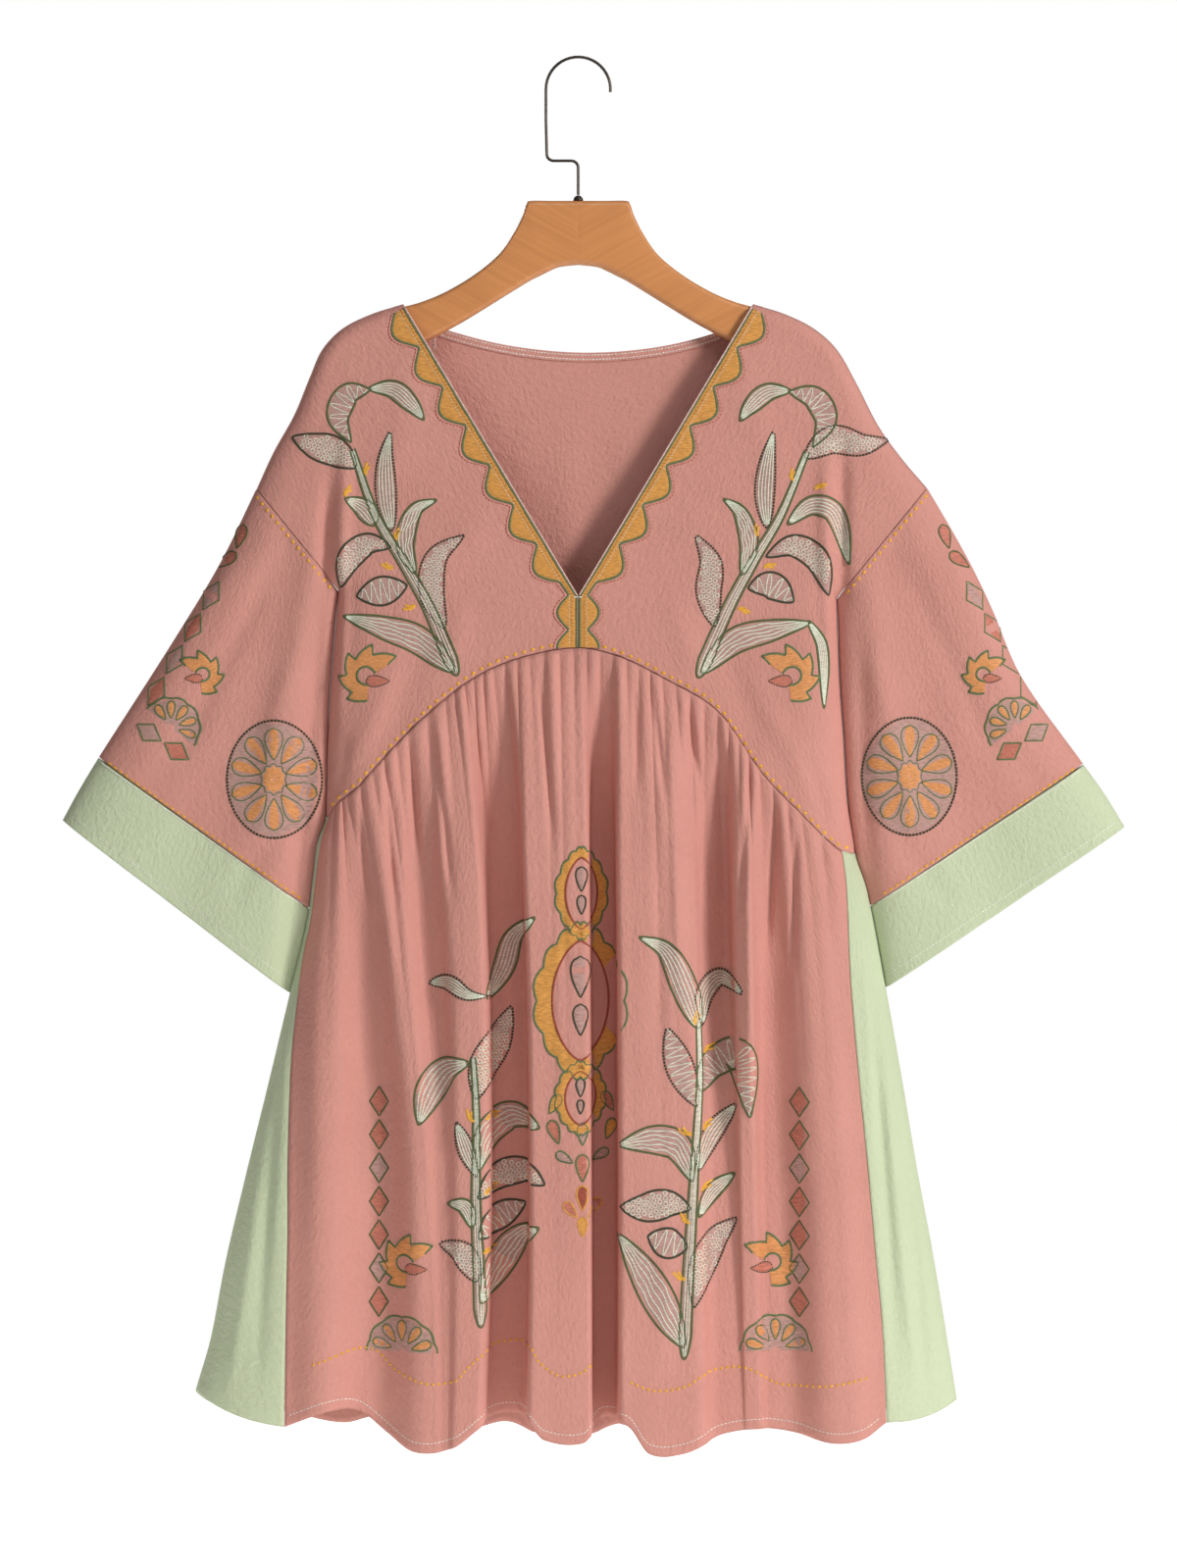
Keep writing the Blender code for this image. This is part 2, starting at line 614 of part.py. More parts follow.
def hanger_stations():
    """Top and under points along a half, with its share of the full thickness."""
    stations = [(Vector(row[:2]), Vector(row[2:]), 1.0) for row in HANGER_OPEN]
    shoulder = Line([(-point[0], point[1]) for point in SHOULDER[LEFT]])
    for share, under_x, under_z in HANGER_COVERED:
        ahead = (shoulder.at(share + 0.01) - shoulder.at(share - 0.01)).normalized()
        top = shoulder.at(share) + Vector((ahead.y, -ahead.x)) * HANGER_ROOM
        stations.append((top, Vector((under_x, under_z)), 1.0))
    for row, thickness in zip(HANGER_END, HANGER_END_THICKNESS):
        stations.append((Vector(row[:2]), Vector(row[2:]), thickness))
    return stations


def hanger_section(height, thickness):
    """Half a rounded section, top to bottom: way down from the top, and half thickness."""
    half = HANGER_THICKNESS / 2 * thickness
    rounding = min(HANGER_ROUNDING * thickness, height / 2.2)
    quarter = []
    for step in range(3):
        angle = math.pi / 4 * step
        quarter.append((rounding * (1 - math.sin(angle)), half - rounding * (1 - math.cos(angle))))
    upper = list(reversed(quarter))
    return upper + [(height - down, out) for down, out in quarter]


def make_hanger_half(side, material, collection):
    """One wooden half: rounded sections from the middle joint out to the shoulder's end."""
    across = -1 if side == LEFT else 1
    stations = hanger_stations()
    around = 2 * len(hanger_section(1.0, 1.0))
    bm = bmesh.new()
    bmesh.ops.create_grid(bm, x_segments=around, y_segments=len(stations) - 1, size=1.0)
    for vertex in bm.verts:
        spoke = round((vertex.co.x + 1) / 2 * around) % around
        top, under, thickness = stations[round((vertex.co.y + 1) / 2 * (len(stations) - 1))]
        section = hanger_section((under - top).length, thickness)
        section += [(down, -out) for down, out in reversed(section)]
        down, out = section[spoke]
        place = top + (under - top).normalized() * down
        vertex.co = Vector((across * place.x, out, place.y)) * MM
    bmesh.ops.remove_doubles(bm, verts=bm.verts[:], dist=1e-7)
    bmesh.ops.holes_fill(bm, edges=[edge for edge in bm.edges if edge.is_boundary], sides=0)
    bmesh.ops.recalc_face_normals(bm, faces=bm.faces[:])
    mesh = bpy.data.meshes.new(f"hanger_{side}_half")
    bm.to_mesh(mesh)
    bm.free()
    return add_object(f"hanger_{side}_half", mesh, material, collection)


def arc(centre, radius, start, end, steps):
    """Points on an arc of the front view, angles in degrees."""
    points = []
    for step in range(steps + 1):
        angle = math.radians(start + (end - start) * step / steps)
        points.append(Vector(centre) + radius * Vector((math.cos(angle), math.sin(angle))))
    return points


def make_hook_wire(material, collection):
    """The bent wire: round hook, straight shank on its left, crank to the middle, foot."""
    centre_z = WIRE_DIAMETER / 2 - HOOK_RADIUS
    route = arc((0, centre_z), HOOK_RADIUS, -5, 180, 22)
    route += [Vector((-HOOK_RADIUS, -46.0)), Vector((-HOOK_RADIUS + 0.6, SHANK_FOOT_Z))]
    route += arc((-HOOK_RADIUS + 0.6 + CRANK_BEND, CRANK_Z + CRANK_BEND), CRANK_BEND, 190, 270, 4)
    route += arc((-CRANK_BEND, CRANK_Z - CRANK_BEND), CRANK_BEND, 90, 0, 4)
    route.append(Vector((0, WIRE_END_Z)))
    curve = bpy.data.curves.new("hook_wire", "CURVE")
    curve.dimensions = "3D"
    curve.bevel_depth = WIRE_DIAMETER / 2 * MM
    curve.bevel_resolution = 2
    curve.use_fill_caps = True
    spline = curve.splines.new("POLY")
    spline.points.add(len(route) - 1)
    for point, place in zip(spline.points, route):
        point.co = (place.x * MM, 0.0, place.y * MM, 1.0)
    curve.materials.append(material)
    wire = bpy.data.objects.new("hook_wire", curve)
    collection.objects.link(wire)
    return wire


def make_hook_collar(material, collection):
    """The small turned dome on the plate, drawn as a profile and spun."""
    bm = bmesh.new()
    foot = PLATE_TOP_Z + JOINT_GAP
    profile = [(0.0, foot + COLLAR_HEIGHT)]
    for step in range(1, 5):
        angle = math.pi / 2 * (1 - step / 4)
        profile.append((COLLAR_RADIUS * math.cos(angle), foot + COLLAR_HEIGHT * math.sin(angle)))
    profile.append((0.0, foot))
    chain = [bm.verts.new((x * MM, 0.0, z * MM)) for x, z in profile]
    for first, second in zip(chain, chain[1:]):
        bm.edges.new((first, second))
    bmesh.ops.spin(bm, geom=bm.verts[:] + bm.edges[:], cent=(0, 0, 0), axis=(0, 0, 1),
                   angle=2 * math.pi, steps=16, use_merge=True)
    bmesh.ops.remove_doubles(bm, verts=bm.verts[:], dist=1e-7)
    bmesh.ops.recalc_face_normals(bm, faces=bm.faces[:])
    mesh = bpy.data.meshes.new("hook_collar")
    bm.to_mesh(mesh)
    bm.free()
    mesh.shade_smooth()
    return add_object("hook_collar", mesh, material, collection)


def clear_scene():
    for item in list(bpy.data.objects):
        bpy.data.objects.remove(item, do_unlink=True)


def main():
    clear_scene()
    collection = bpy.data.collections.new(COLLECTION)
    bpy.context.scene.collection.children.link(collection)
    pink = make_material("pink_cotton", (0.56, 0.24, 0.19), 0.9)
    green = make_material("green_cotton", (0.55, 0.62, 0.38), 0.9)
    wood = make_material("hanger_wood", (0.52, 0.22, 0.07), 0.45)
    steel = make_material("hook_steel", (0.2, 0.18, 0.16), 0.4, 1.0)
    for side in SIDES:
        make_hanger_half(side, wood, collection)
        make_front_bodice(side, pink, collection)
        make_sleeve(side, pink, collection)
        make_cuff(side, green, collection)
        make_gore(side, green, collection)
    make_back_bodice(pink, collection)
    make_back_neck_binding(pink, collection)
    skirt_panel("front_skirt", FRONT_FOLDS, FRONT_HEM, FRONT, pink, collection)
    skirt_panel("back_skirt", BACK_FOLDS, BACK_HEM, BACK, pink, collection)
    make_hook_wire(steel, collection)
    make_hook_collar(steel, collection)


main()
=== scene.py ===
"""Embroidered babydoll dress on its wooden hanger: cloth, folds, seams, embroidery, wood and wire.

Sizes below are millimetres and become metres when a mesh is placed. The front faces -Y.
"""

import math

import bmesh
import bpy
import numpy as np
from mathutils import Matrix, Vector
from mathutils.bvhtree import BVHTree


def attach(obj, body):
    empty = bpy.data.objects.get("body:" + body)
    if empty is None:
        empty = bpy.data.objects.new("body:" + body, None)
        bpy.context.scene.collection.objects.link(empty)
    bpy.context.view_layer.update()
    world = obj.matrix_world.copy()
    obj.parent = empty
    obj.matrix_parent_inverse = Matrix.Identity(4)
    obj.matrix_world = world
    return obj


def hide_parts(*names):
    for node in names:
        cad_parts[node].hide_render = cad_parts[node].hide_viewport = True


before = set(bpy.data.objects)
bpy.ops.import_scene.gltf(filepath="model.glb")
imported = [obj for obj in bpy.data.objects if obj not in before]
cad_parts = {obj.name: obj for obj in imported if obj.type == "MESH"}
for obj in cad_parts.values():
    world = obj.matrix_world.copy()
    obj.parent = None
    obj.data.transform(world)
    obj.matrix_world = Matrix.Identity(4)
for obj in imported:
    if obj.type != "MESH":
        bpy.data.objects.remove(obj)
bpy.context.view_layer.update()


# Camera, level and straight on, about three metres off, as a shop takes a hanging garment.
# The picture's height covers 1167 mm at the dress, and its middle is 540 mm below the hook.
CAMERA_DISTANCE = 3.3
PICTURE_HEIGHT = 1.167
camera_data = bpy.data.cameras.new("camera")
camera_data.lens = camera_data.sensor_width * CAMERA_DISTANCE / PICTURE_HEIGHT
camera = bpy.data.objects.new("camera", camera_data)
camera.location = (0.0077, -CAMERA_DISTANCE, -0.54)
camera.rotation_euler = (math.pi / 2, 0.0, 0.0)
bpy.context.scene.collection.objects.link(camera)
bpy.context.scene.camera = camera


# Studio: a round white paper floor under the dress, seen against plain white from every side.
# A soft box on the right is the main light, with weaker ones on the left, overhead and behind.
FLOOR_Z = -1.2
FLOOR_RADIUS = 1.5


def show_node(tree, kind, **values):
    """A new shader node with some of its inputs set."""
    node = tree.nodes.new("ShaderNode" + kind)
    for name, value in values.items():
        node.inputs[name].default_value = value
    return node


def link(tree, *links):
    """Links, each given as a node, its output, the next node and its input."""
    for node, output, follower, entry in links:
        tree.links.new(node.outputs[output], follower.inputs[entry])


def new_material(name, **values):
    """A material with constants on its shader's inputs, its node tree and its shader."""
    material = bpy.data.materials.new(name)
    material.use_nodes = True
    shader = material.node_tree.nodes["Principled BSDF"]
    for entry, value in values.items():
        shader.inputs[entry.replace("_", " ")].default_value = value
    return material, material.node_tree, shader


paper = new_material("white_paper", Base_Color=(0.9, 0.9, 0.9, 1.0), Roughness=1.0,
                     Emission_Color=(1.0, 1.0, 1.0, 1.0), Emission_Strength=0.75)[0]
bm = bmesh.new()
bmesh.ops.create_circle(bm, cap_ends=True, segments=96, radius=FLOOR_RADIUS)
bmesh.ops.translate(bm, vec=(0.0, 0.0, FLOOR_Z), verts=bm.verts[:])
floor_mesh = bpy.data.meshes.new("paper_floor")
bm.to_mesh(floor_mesh)
bm.free()
floor_mesh.materials.append(paper)
floor = bpy.data.objects.new("paper_floor", floor_mesh)
bpy.context.scene.collection.objects.link(floor)

SOFT_BOXES = (
    # name, place, size, watts
    ("key_right", (2.45, -1.85, 0.6), 0.65, 77.0),
    ("fill_left", (-2.2, -2.6, 0.2), 1.6, 8.0),
    ("top", (0.4, -1.6, 1.9), 1.2, 16.0),
    ("behind", (-1.6, 2.6, 0.4), 1.6, 34.0),
)
for name, place, size, watts in SOFT_BOXES:
    lamp = bpy.data.lights.new(name, "AREA")
    lamp.size = size
    lamp.energy = watts
    box = bpy.data.objects.new(name, lamp)
    box.location = place
    box.rotation_euler = (Vector((0, 0, -0.55)) - Vector(place)).to_track_quat("-Z", "Y").to_euler()
    bpy.context.scene.collection.objects.link(box)
world = bpy.data.worlds.new("studio")
world.use_nodes = True
room_tree = world.node_tree
room_light = room_tree.nodes["Background"]
room_light.inputs["Color"].default_value = (1.0, 0.99, 0.98, 1.0)
room_light.inputs["Strength"].default_value = 0.09
white = show_node(room_tree, "Background", Color=(1.0, 1.0, 1.0, 1.0), Strength=1.0)
either = show_node(room_tree, "MixShader")
link(room_tree, (show_node(room_tree, "LightPath"), "Is Camera Ray", either, 0),
     (room_light, 0, either, 1), (white, 0, either, 2),
     (either, 0, room_tree.nodes["World Output"], "Surface"))
bpy.context.scene.world = world
bpy.context.scene.view_settings.view_transform = "Standard"


# Front and back yoke: pink crinkled cotton, cut flat and closed along shoulder and side seams.
# The front is two pieces that meet below the V neck, the back is one up to its binding.
MM = 0.001
FRONT = -1
BACK = 1
LEFT = "left"
RIGHT = "right"
SIDES = (LEFT, RIGHT)
CLOTH_WALL = 1.1
HALF_SEAM = 0.2
WAIST_SEAM = 0.7
SEAM_SHOWN = 0.06
SLEEVE_ROOM = 1.2
SHOULDER = {
    LEFT: ((-130, -183.6), (-153, -190.6), (-175, -201.5), (-190, -217), (-199, -237),
           (-211, -266), (-226, -293), (-239, -321)),
    RIGHT: ((130, -183.6), (153, -190.6), (175, -201.5), (192, -217), (207, -243),
            (223, -274), (241, -299), (259, -320)),
}
SLEEVE_OUTER = {
    LEFT: ((-239, -321), (-266, -376), (-299, -431), (-356, -520)),
    RIGHT: ((259, -320), (289, -372), (307, -409), (329, -460), (375, -525)),
}
CUFF_OUTER = {
    LEFT: ((-356.4, -520.8), (-371, -545), (-383, -567)),
    RIGHT: ((375.4, -525.8), (392, -549), (406, -572)),
}
SIDE_OUTLINE = {
    LEFT: ((-178, -396), (-185, -489), (-187, -565), (-193, -582), (-196, -605), (-201, -642),
           (-214, -696), (-230, -763), (-247, -832), (-262, -896), (-273, -953), (-284, -991),
           (-291, -1020)),
    RIGHT: ((192, -402), (194, -461), (197, -505), (200, -553), (205.5, -592), (214, -618),
            (226, -679), (240, -757), (251, -823), (263, -887), (275, -959), (281, -997),
            (285, -1020)),
}
V_FOOT_Z = -400.0
SLIT_FOOT_Z = -439.0
FRONT_WAIST = ((-187, -565), (-177, -553), (-163, -542), (-148, -525), (-116, -492),
               (-80, -463), (-45, -447), (0, -439), (32, -446), (72, -466), (95, -479),
               (108, -491), (120, -508), (131, -525), (145, -542), (161, -558), (191, -587),
               (205.5, -592))
BACK_WAIST = ((-187, -565), (-168, -550), (-140, -534), (-100, -518), (-50, -505), (5, -501),
              (60, -507), (110, -525), (155, -556), (182, -578), (205.5, -592))
BACK_NECK = ((-130, -183.6), (-114, -194), (-95, -202), (-50, -213), (3, -218), (55, -214.5),
             (100, -204), (116, -195), (130, -183.6))
BINDING_WIDTH = 6.6
BINDING_STOPS = (0.09, 0.2, 0.35, 0.5, 0.65, 0.8, 0.91)
BINDING_END_SHARE = 0.038
SHOULDER_LENGTH = 185.0
UNDERARM_ROW = 0.63
NECK_START = 0.27

# Depth of the hanging body and sleeves: z, half depth, width over which an edge rounds
BODY_SECTIONS = ((-180, 10, 9), (-235, 10.5, 11), (-320, 12, 24), (-400, 15, 28), (-470, 19, 32),
                 (-590, 24, 40), (-800, 32, 62), (-1040, 40, 85))
SLEEVE_SECTIONS = ((-180, 10, 9), (-235, 10.5, 11), (-320, 12, 24), (-400, 15, 28),
                   (-520, 14.5, 30), (-700, 14, 30))

# Soft creases: start x and z, end x and z, half width, how far out (negative is a trough).
# They fade where the garment's half depth falls under CREASE_ROOM.
CREASE_ROOM = 12.0
YOKE_FRONT_CREASES = (
    (-182, -290, -193, -520, 5.5, -6), (-169, -260, -180, -520, 5, 3.6),
    (193, -270, 201, -460, 5.5, -4.5), (181, -270, 190, -480, 5.5, 3),
    (-118, -215, -150, -330, 14, 1.6), (120, -215, 150, -340, 14, 1.4),
    (-100, -420, -150, -520, 12, -1.8), (-80, -400, -105, -460, 10, 1.4),
    (90, -410, 140, -520, 12, -1.8), (60, -400, 96, -465, 10, 1.2),
    (-60, -330, -130, -390, 16, 1.2), (70, -330, 140, -400, 16, 1.2),
    (-130, -440, -176, -540, 8, 1.5), (120, -440, 178, -560, 8, 1.5),
    (-168, -500, -182, -552, 5, -1.5), (160, -510, 190, -575, 6, -1.5),
)
YOKE_BACK_CREASES = (
    (-150, -300, -168, -470, 9, -2.2), (-120, -250, -150, -330, 13, 1.8),
    (150, -300, 172, -480, 9, -2.2), (120, -250, 150, -340, 13, 1.8),
    (-60, -260, -90, -500, 18, 1.6), (40, -260, 70, -500, 18, -1.6),
    (0, -240, -10, -500, 15, -1.4), (100, -380, 140, -540, 10, 1.6),
)


def read(rows, at, column=1):
    """A table's column, read smoothly where its first column is `at`."""
    table = np.array(rows, float)
    table = table[np.argsort(table[:, 0], kind="stable")]
    keys, values = table[:, 0], table[:, column]
    last = len(keys) - 1
    low = np.maximum(np.arange(last + 1) - 1, 0)
    high = np.minimum(np.arange(last + 1) + 1, last)
    slopes = (values[high] - values[low]) / (keys[high] - keys[low])
    at = np.clip(at, keys[0], keys[-1])
    k = np.clip(np.searchsorted(keys, at, side="right") - 1, 0, last - 1)
    span = keys[k + 1] - keys[k]
    t = (at - keys[k]) / span
    value = (2 * t ** 3 - 3 * t ** 2 + 1) * values[k] + (3 * t ** 2 - 2 * t ** 3) * values[k + 1]
    return value + span * ((t ** 3 - 2 * t ** 2 + t) * slopes[k] + (t ** 3 - t ** 2) * slopes[k + 1])


def unit(way):
    """A direction of length one."""
    return way / np.hypot(*way)


def lengths_to(points):
    """The way along a line to each of its points."""
    return np.concatenate([[0.0], np.cumsum(np.hypot(*np.diff(points, axis=0).T))])


def line(points):
    """A smooth line through a few points, read by its share of length."""
    points = np.array(points, float)
    lengths = lengths_to(points)
    rows = np.column_stack([lengths / lengths[-1], points])
    return lambda share: np.stack([read(rows, share, 1), read(rows, share, 2)], -1)


def joined(*parts):
    """One edge from several lines, each given with the share at which it ends."""

    def at(share):
        share = np.asarray(share, float)
        place = np.zeros(share.shape + (2,))
        start = 0.0
        for end, run in parts:
            inside = (share >= start)[..., None]
            place = np.where(inside, run(np.clip((share - start) / (end - start), 0, 1)), place)
            start = end
        return place

    return at


def patch(bottom, top, left, right):
    """A four-sided piece of the front view between four edge lines."""

    def place(s, t):
        s, t = np.broadcast_arrays(s, t)
        p, q = s[..., None], t[..., None]
        zero, one = np.zeros(1), np.ones(1)
        blend = (1 - q) * bottom(s) + q * top(s) + (1 - p) * left(t) + p * right(t)
        corners = (1 - p) * ((1 - q) * bottom(zero) + q * top(zero))
        return blend - corners - p * ((1 - q) * bottom(one) + q * top(one))

    return place


def distance(points, runs):
    """The shortest way from points of the front view to a drawn line."""
    start, run = runs[:-1], np.diff(runs, axis=0)
    length = (run ** 2).sum(-1)
    shortest = np.full(points.shape[:-1], 1e9)
    for k in range(len(run)):
        share = np.clip(((points - start[k]) @ run[k]) / length[k], 0, 1)
        away = points - start[k] - share[..., None] * run[k]
        shortest = np.minimum(shortest, (away ** 2).sum(-1))
    return np.sqrt(shortest)


def side_x(side, z):
    """The body's outline at a height."""
    return read([(point[1], point[0]) for point in SIDE_OUTLINE[side]], z)


DRAWN = np.linspace(0, 1, 121)
outer_runs, side_runs, inner_runs = {}, {}, {}
for side, away in ((LEFT, -1), (RIGHT, 1)):
    outer_runs[side] = line(SHOULDER[side] + SLEEVE_OUTER[side][1:] + CUFF_OUTER[side][1:])(DRAWN)
    side_runs[side] = line(SIDE_OUTLINE[side])(DRAWN)
    inner_runs[side] = side_runs[side] + np.array((away * SLEEVE_ROOM, 0.0))


def stand_off(points, sleeve=None):
    """Half the garment's depth: full inside, rounding to nothing at an outline."""
    sections = SLEEVE_SECTIONS if sleeve else BODY_SECTIONS
    full = read(sections, points[..., 1], 1)
    rounding = read(sections, points[..., 1], 2)
    near = np.full(points.shape[:-1], 1e9)
    for side in SIDES if sleeve is None else (sleeve,):
        edge = inner_runs[side] if sleeve else side_runs[side]
        near_here = np.minimum(distance(points, outer_runs[side]), distance(points, edge))
        ours = (points[..., 0] < 0) == (side == LEFT)
        near = np.where(ours if sleeve is None else True, near_here, near)
    share = np.minimum(near / rounding, 1.0)
    return full * np.sqrt(1 - (1 - share) ** 2)


def creased(points, creases):
    """How far the listed creases push the cloth out at points of the front view."""
    out = np.zeros(points.shape[:-1])
    for x, z, end_x, end_z, width, depth in creases:
        run = np.array((end_x - x, end_z - z), float)
        length = np.hypot(*run)
        way = points - np.array((x, z), float)
        along = (way @ run) / length ** 2
        wander = 0.35 * width * np.sin(along * 5.0 + x)
        across = (way @ np.array((-run[1], run[0]))) / length + wander
        ends = np.clip(along / 0.3, 0, 1) * np.clip((1 - along) / 0.3, 0, 1)
        ends = ends * ends * (3 - 2 * ends)
        out += depth * ends * np.exp(-(across / width) ** 2)
    return out


def body_points(points, face, out=0.0):
    """Points of the body's cloth over places in the front view."""
    y = face * (HALF_SEAM + stand_off(points) + out)
    return np.stack([points[..., 0], y, points[..., 1]], -1)


def armhole(side, share, gap):
    """The drop-shoulder seam from the shoulder (0) to the underarm (1), moved by a gap."""
    top, foot = np.array(SHOULDER[side][-1], float), np.array(SIDE_OUTLINE[side][0], float)
    run = unit(foot - top)
    inward = np.array((-run[1], run[0])) if side == LEFT else np.array((run[1], -run[0]))
    return top + (foot - top) * np.asarray(share, float)[..., None] + inward * gap


def bodice_outer_edge(side):
    """Waist seam end, up the side seam and out along the armhole to the shoulder."""
    waist_z = FRONT_WAIST[0][1] if side == LEFT else FRONT_WAIST[-1][1]
    above = [point for point in SIDE_OUTLINE[side][1:] if point[1] > waist_z]
    under = armhole(side, 1, HALF_SEAM)
    up_side = line([(side_x(side, waist_z), waist_z)] + above[::-1] + [tuple(under)])
    up_armhole = line([tuple(under), tuple(armhole(side, 0, HALF_SEAM))])
    return joined((UNDERARM_ROW, up_side), (1.0, up_armhole))


def waist_edge(rows, start_x, end_x):
    """The yoke's lower edge between two places across the body."""

    def at(share):
        x = start_x + (end_x - start_x) * np.asarray(share, float)
        return np.stack([x, read(rows, x)], -1)

    return at


def binding_foot(gap):
    """Lower edge of the neck binding, from shoulder line to shoulder line, moved by a gap."""
    upper = line(BACK_NECK)
    stops = np.array(BINDING_STOPS)
    ahead = upper(stops + 0.01) - upper(stops - 0.01)
    ahead /= np.hypot(ahead[:, 0], ahead[:, 1])[:, None]
    points = upper(stops) + np.stack([ahead[:, 1], -ahead[:, 0]], -1) * (BINDING_WIDTH + gap)
    share = BINDING_END_SHARE + gap / SHOULDER_LENGTH
    ends = [line(SHOULDER[side])(share) for side in SIDES]
    return [tuple(ends[0])] + [tuple(point) for point in points] + [tuple(ends[1])]


def add_piece(name, bm, material):
    """An object at the origin that rides on the dress, with one material."""
    mesh = bpy.data.meshes.new(name)
    bm.to_mesh(mesh)
    bm.free()
    mesh.materials.append(material)
    mesh.shade_smooth()
    piece = bpy.data.objects.new(name, mesh)
    bpy.context.scene.collection.objects.link(piece)
    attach(piece, "root")
    return piece


def lay_grid(bm, places, scale):
    """A grid of faces over rows of places, with each new vertex's row and column."""
    rows, columns = places.shape[:2]
    made = bmesh.ops.create_grid(bm, x_segments=columns - 1, y_segments=rows - 1, size=1.0)
    index = {}
    for vertex in made["verts"]:
        row = round((vertex.co.y + 1) / 2 * (rows - 1))
        column = round((vertex.co.x + 1) / 2 * (columns - 1))
        index[vertex] = (row, column)
        vertex.co = Vector(places[row, column]) * scale
    return index


def cloth(name, places, material, node, tube=False, wall=CLOTH_WALL):
    """Cloth laid on a grid of places in millimetres, with its thickness and its weave's UVs."""
    bm = bmesh.new()
    weave = bm.loops.layers.uv.new("weave")
    down, across = (
        np.append(0.0, np.cumsum(np.linalg.norm(np.diff(places, axis=k), axis=-1).mean(1 - k))) * MM
        for k in range(2))
    index = lay_grid(bm, places, MM)
    for face in bm.faces:
        for loop in face.loops:
            row, column = index[loop.vert]
            loop[weave].uv = (across[column], down[row])
    if tube:
        bmesh.ops.remove_doubles(bm, verts=bm.verts[:], dist=1e-7)
    piece = add_piece(name, bm, material)
    solidify = piece.modifiers.new("cloth", "SOLIDIFY")
    solidify.thickness = wall * MM
    solidify.offset = 0.0
    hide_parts(node)
    return piece


def cotton(name, colour, shade, seed):
    """Crinkled cotton: unevenly dyed, with a fine weave, small crinkles and a soft sheen, and painted
    shade in the crinkles' hollows with painted light on their crests.
    """
    material, tree, shader = new_material(name, Roughness=0.92, Specular_IOR_Level=0.15,
                                          Sheen_Weight=0.25, Sheen_Roughness=0.5,
                                          Sheen_Tint=(*colour, 1.0))
    weave = show_node(tree, "UVMap")
    weave.uv_map = "weave"
    place = show_node(tree, "TexCoord")
    soft = show_node(tree, "TexNoise", Scale=14.0, Detail=4.0, Roughness=0.6)
    crinkle = show_node(tree, "TexNoise", Scale=1.0, Detail=5.0, Roughness=0.62)
    stretch = show_node(tree, "Mapping", Scale=(320.0, 200.0, 1.0), Location=(seed, seed, 0.0))
    threads = show_node(tree, "TexNoise", Scale=1.0, Detail=2.0, Roughness=0.5)
    fine = show_node(tree, "Mapping", Scale=(1500.0, 900.0, 1.0))
    lay = show_node(tree, "Mapping", Scale=(34.0, 22.0, 1.0), Rotation=(0.0, 0.0, 0.5))
    creases = show_node(tree, "TexNoise", Scale=1.0, Detail=2.0, Roughness=0.5, Distortion=0.6)
    creases.noise_type = "RIDGED_MULTIFRACTAL"
    # Half the colour follows the crinkle noise that also raises the bump: painted shade in its hollows
    # and painted light on its crests. The other half is the soft noise of uneven dyeing.
    dye_and_crinkle_shade = show_node(tree, "Mix")
    dye_and_crinkle_shade.data_type = "RGBA"
    dye_and_crinkle_shade.inputs["A"].default_value = (*shade, 1.0)
    dye_and_crinkle_shade.inputs["B"].default_value = (*colour, 1.0)
    tone, part = show_node(tree, "Math"), show_node(tree, "Math")
    tone.operation, part.operation = "MULTIPLY_ADD", "MULTIPLY"
    tone.inputs[1].default_value = part.inputs[1].default_value = 0.5
    bump = show_node(tree, "Bump", Strength=0.9, Distance=0.0016)
    weft = show_node(tree, "Bump", Strength=0.35, Distance=0.0004)
    fold = show_node(tree, "Bump", Strength=0.35, Distance=0.0016)
    link(tree, (place, "Object", soft, "Vector"), (weave, "UV", stretch, "Vector"),
         (stretch, "Vector", crinkle, "Vector"), (weave, "UV", fine, "Vector"),
         (fine, "Vector", threads, "Vector"), (weave, "UV", lay, "Vector"),
         (lay, "Vector", creases, "Vector"), (soft, "Fac", tone, 0), (crinkle, "Fac", part, 0),
         (part, "Value", tone, 2), (tone, "Value", dye_and_crinkle_shade, "Factor"),
         (dye_and_crinkle_shade, "Result", shader, "Base Color"), (crinkle, "Fac", bump, "Height"),
         (threads, "Fac", weft, "Height"), (creases, "Fac", fold, "Height"),
         (weft, "Normal", bump, "Normal"), (bump, "Normal", fold, "Normal"),
         (fold, "Normal", shader, "Normal"))
    return material


pink = cotton("pink_cotton", (0.72, 0.345, 0.285), (0.56, 0.245, 0.2), 0.0)
green = cotton("green_cotton", (0.63, 0.69, 0.475), (0.53, 0.6, 0.385), 40.0)


def eased(count, ease=0.35):
    """Shares from 0 to 1 that crowd a little towards both ends."""
    t = np.linspace(0, 1, count)
    return (1 - ease) * t + ease * (1 - np.cos(math.pi * t)) / 2


front_bodices = {}
for side, across in ((LEFT, -1), (RIGHT, 1)):
    waist_end = FRONT_WAIST[0][0] if side == LEFT else FRONT_WAIST[-1][0]
    middle = (across * HALF_SEAM, SLIT_FOOT_Z)
    v_foot = (across * HALF_SEAM, V_FOOT_Z)
    neck_edge = joined((0.16, line([middle, v_foot])), (1.0, line([v_foot, SHOULDER[side][0]])))
    shoulder = line(SHOULDER[side][:-1] + (tuple(armhole(side, 0, HALF_SEAM)),))
    surface = patch(waist_edge(FRONT_WAIST, waist_end, middle[0]), lambda s: shoulder(1 - s),
                    bodice_outer_edge(side), neck_edge)
    shares = np.sort(np.append(eased(118), UNDERARM_ROW))
    flat = surface(*np.meshgrid(eased(90), shares))
    out = creased(flat, YOKE_FRONT_CREASES) * np.clip(stand_off(flat) / CREASE_ROOM, 0, 1)
    places = body_points(flat, FRONT, out)
    places[-1, :, 1] = FRONT * HALF_SEAM
    front_bodices[side] = cloth(f"yoke_front_{side}", places, pink,
                                f"front_bodice_{side}")

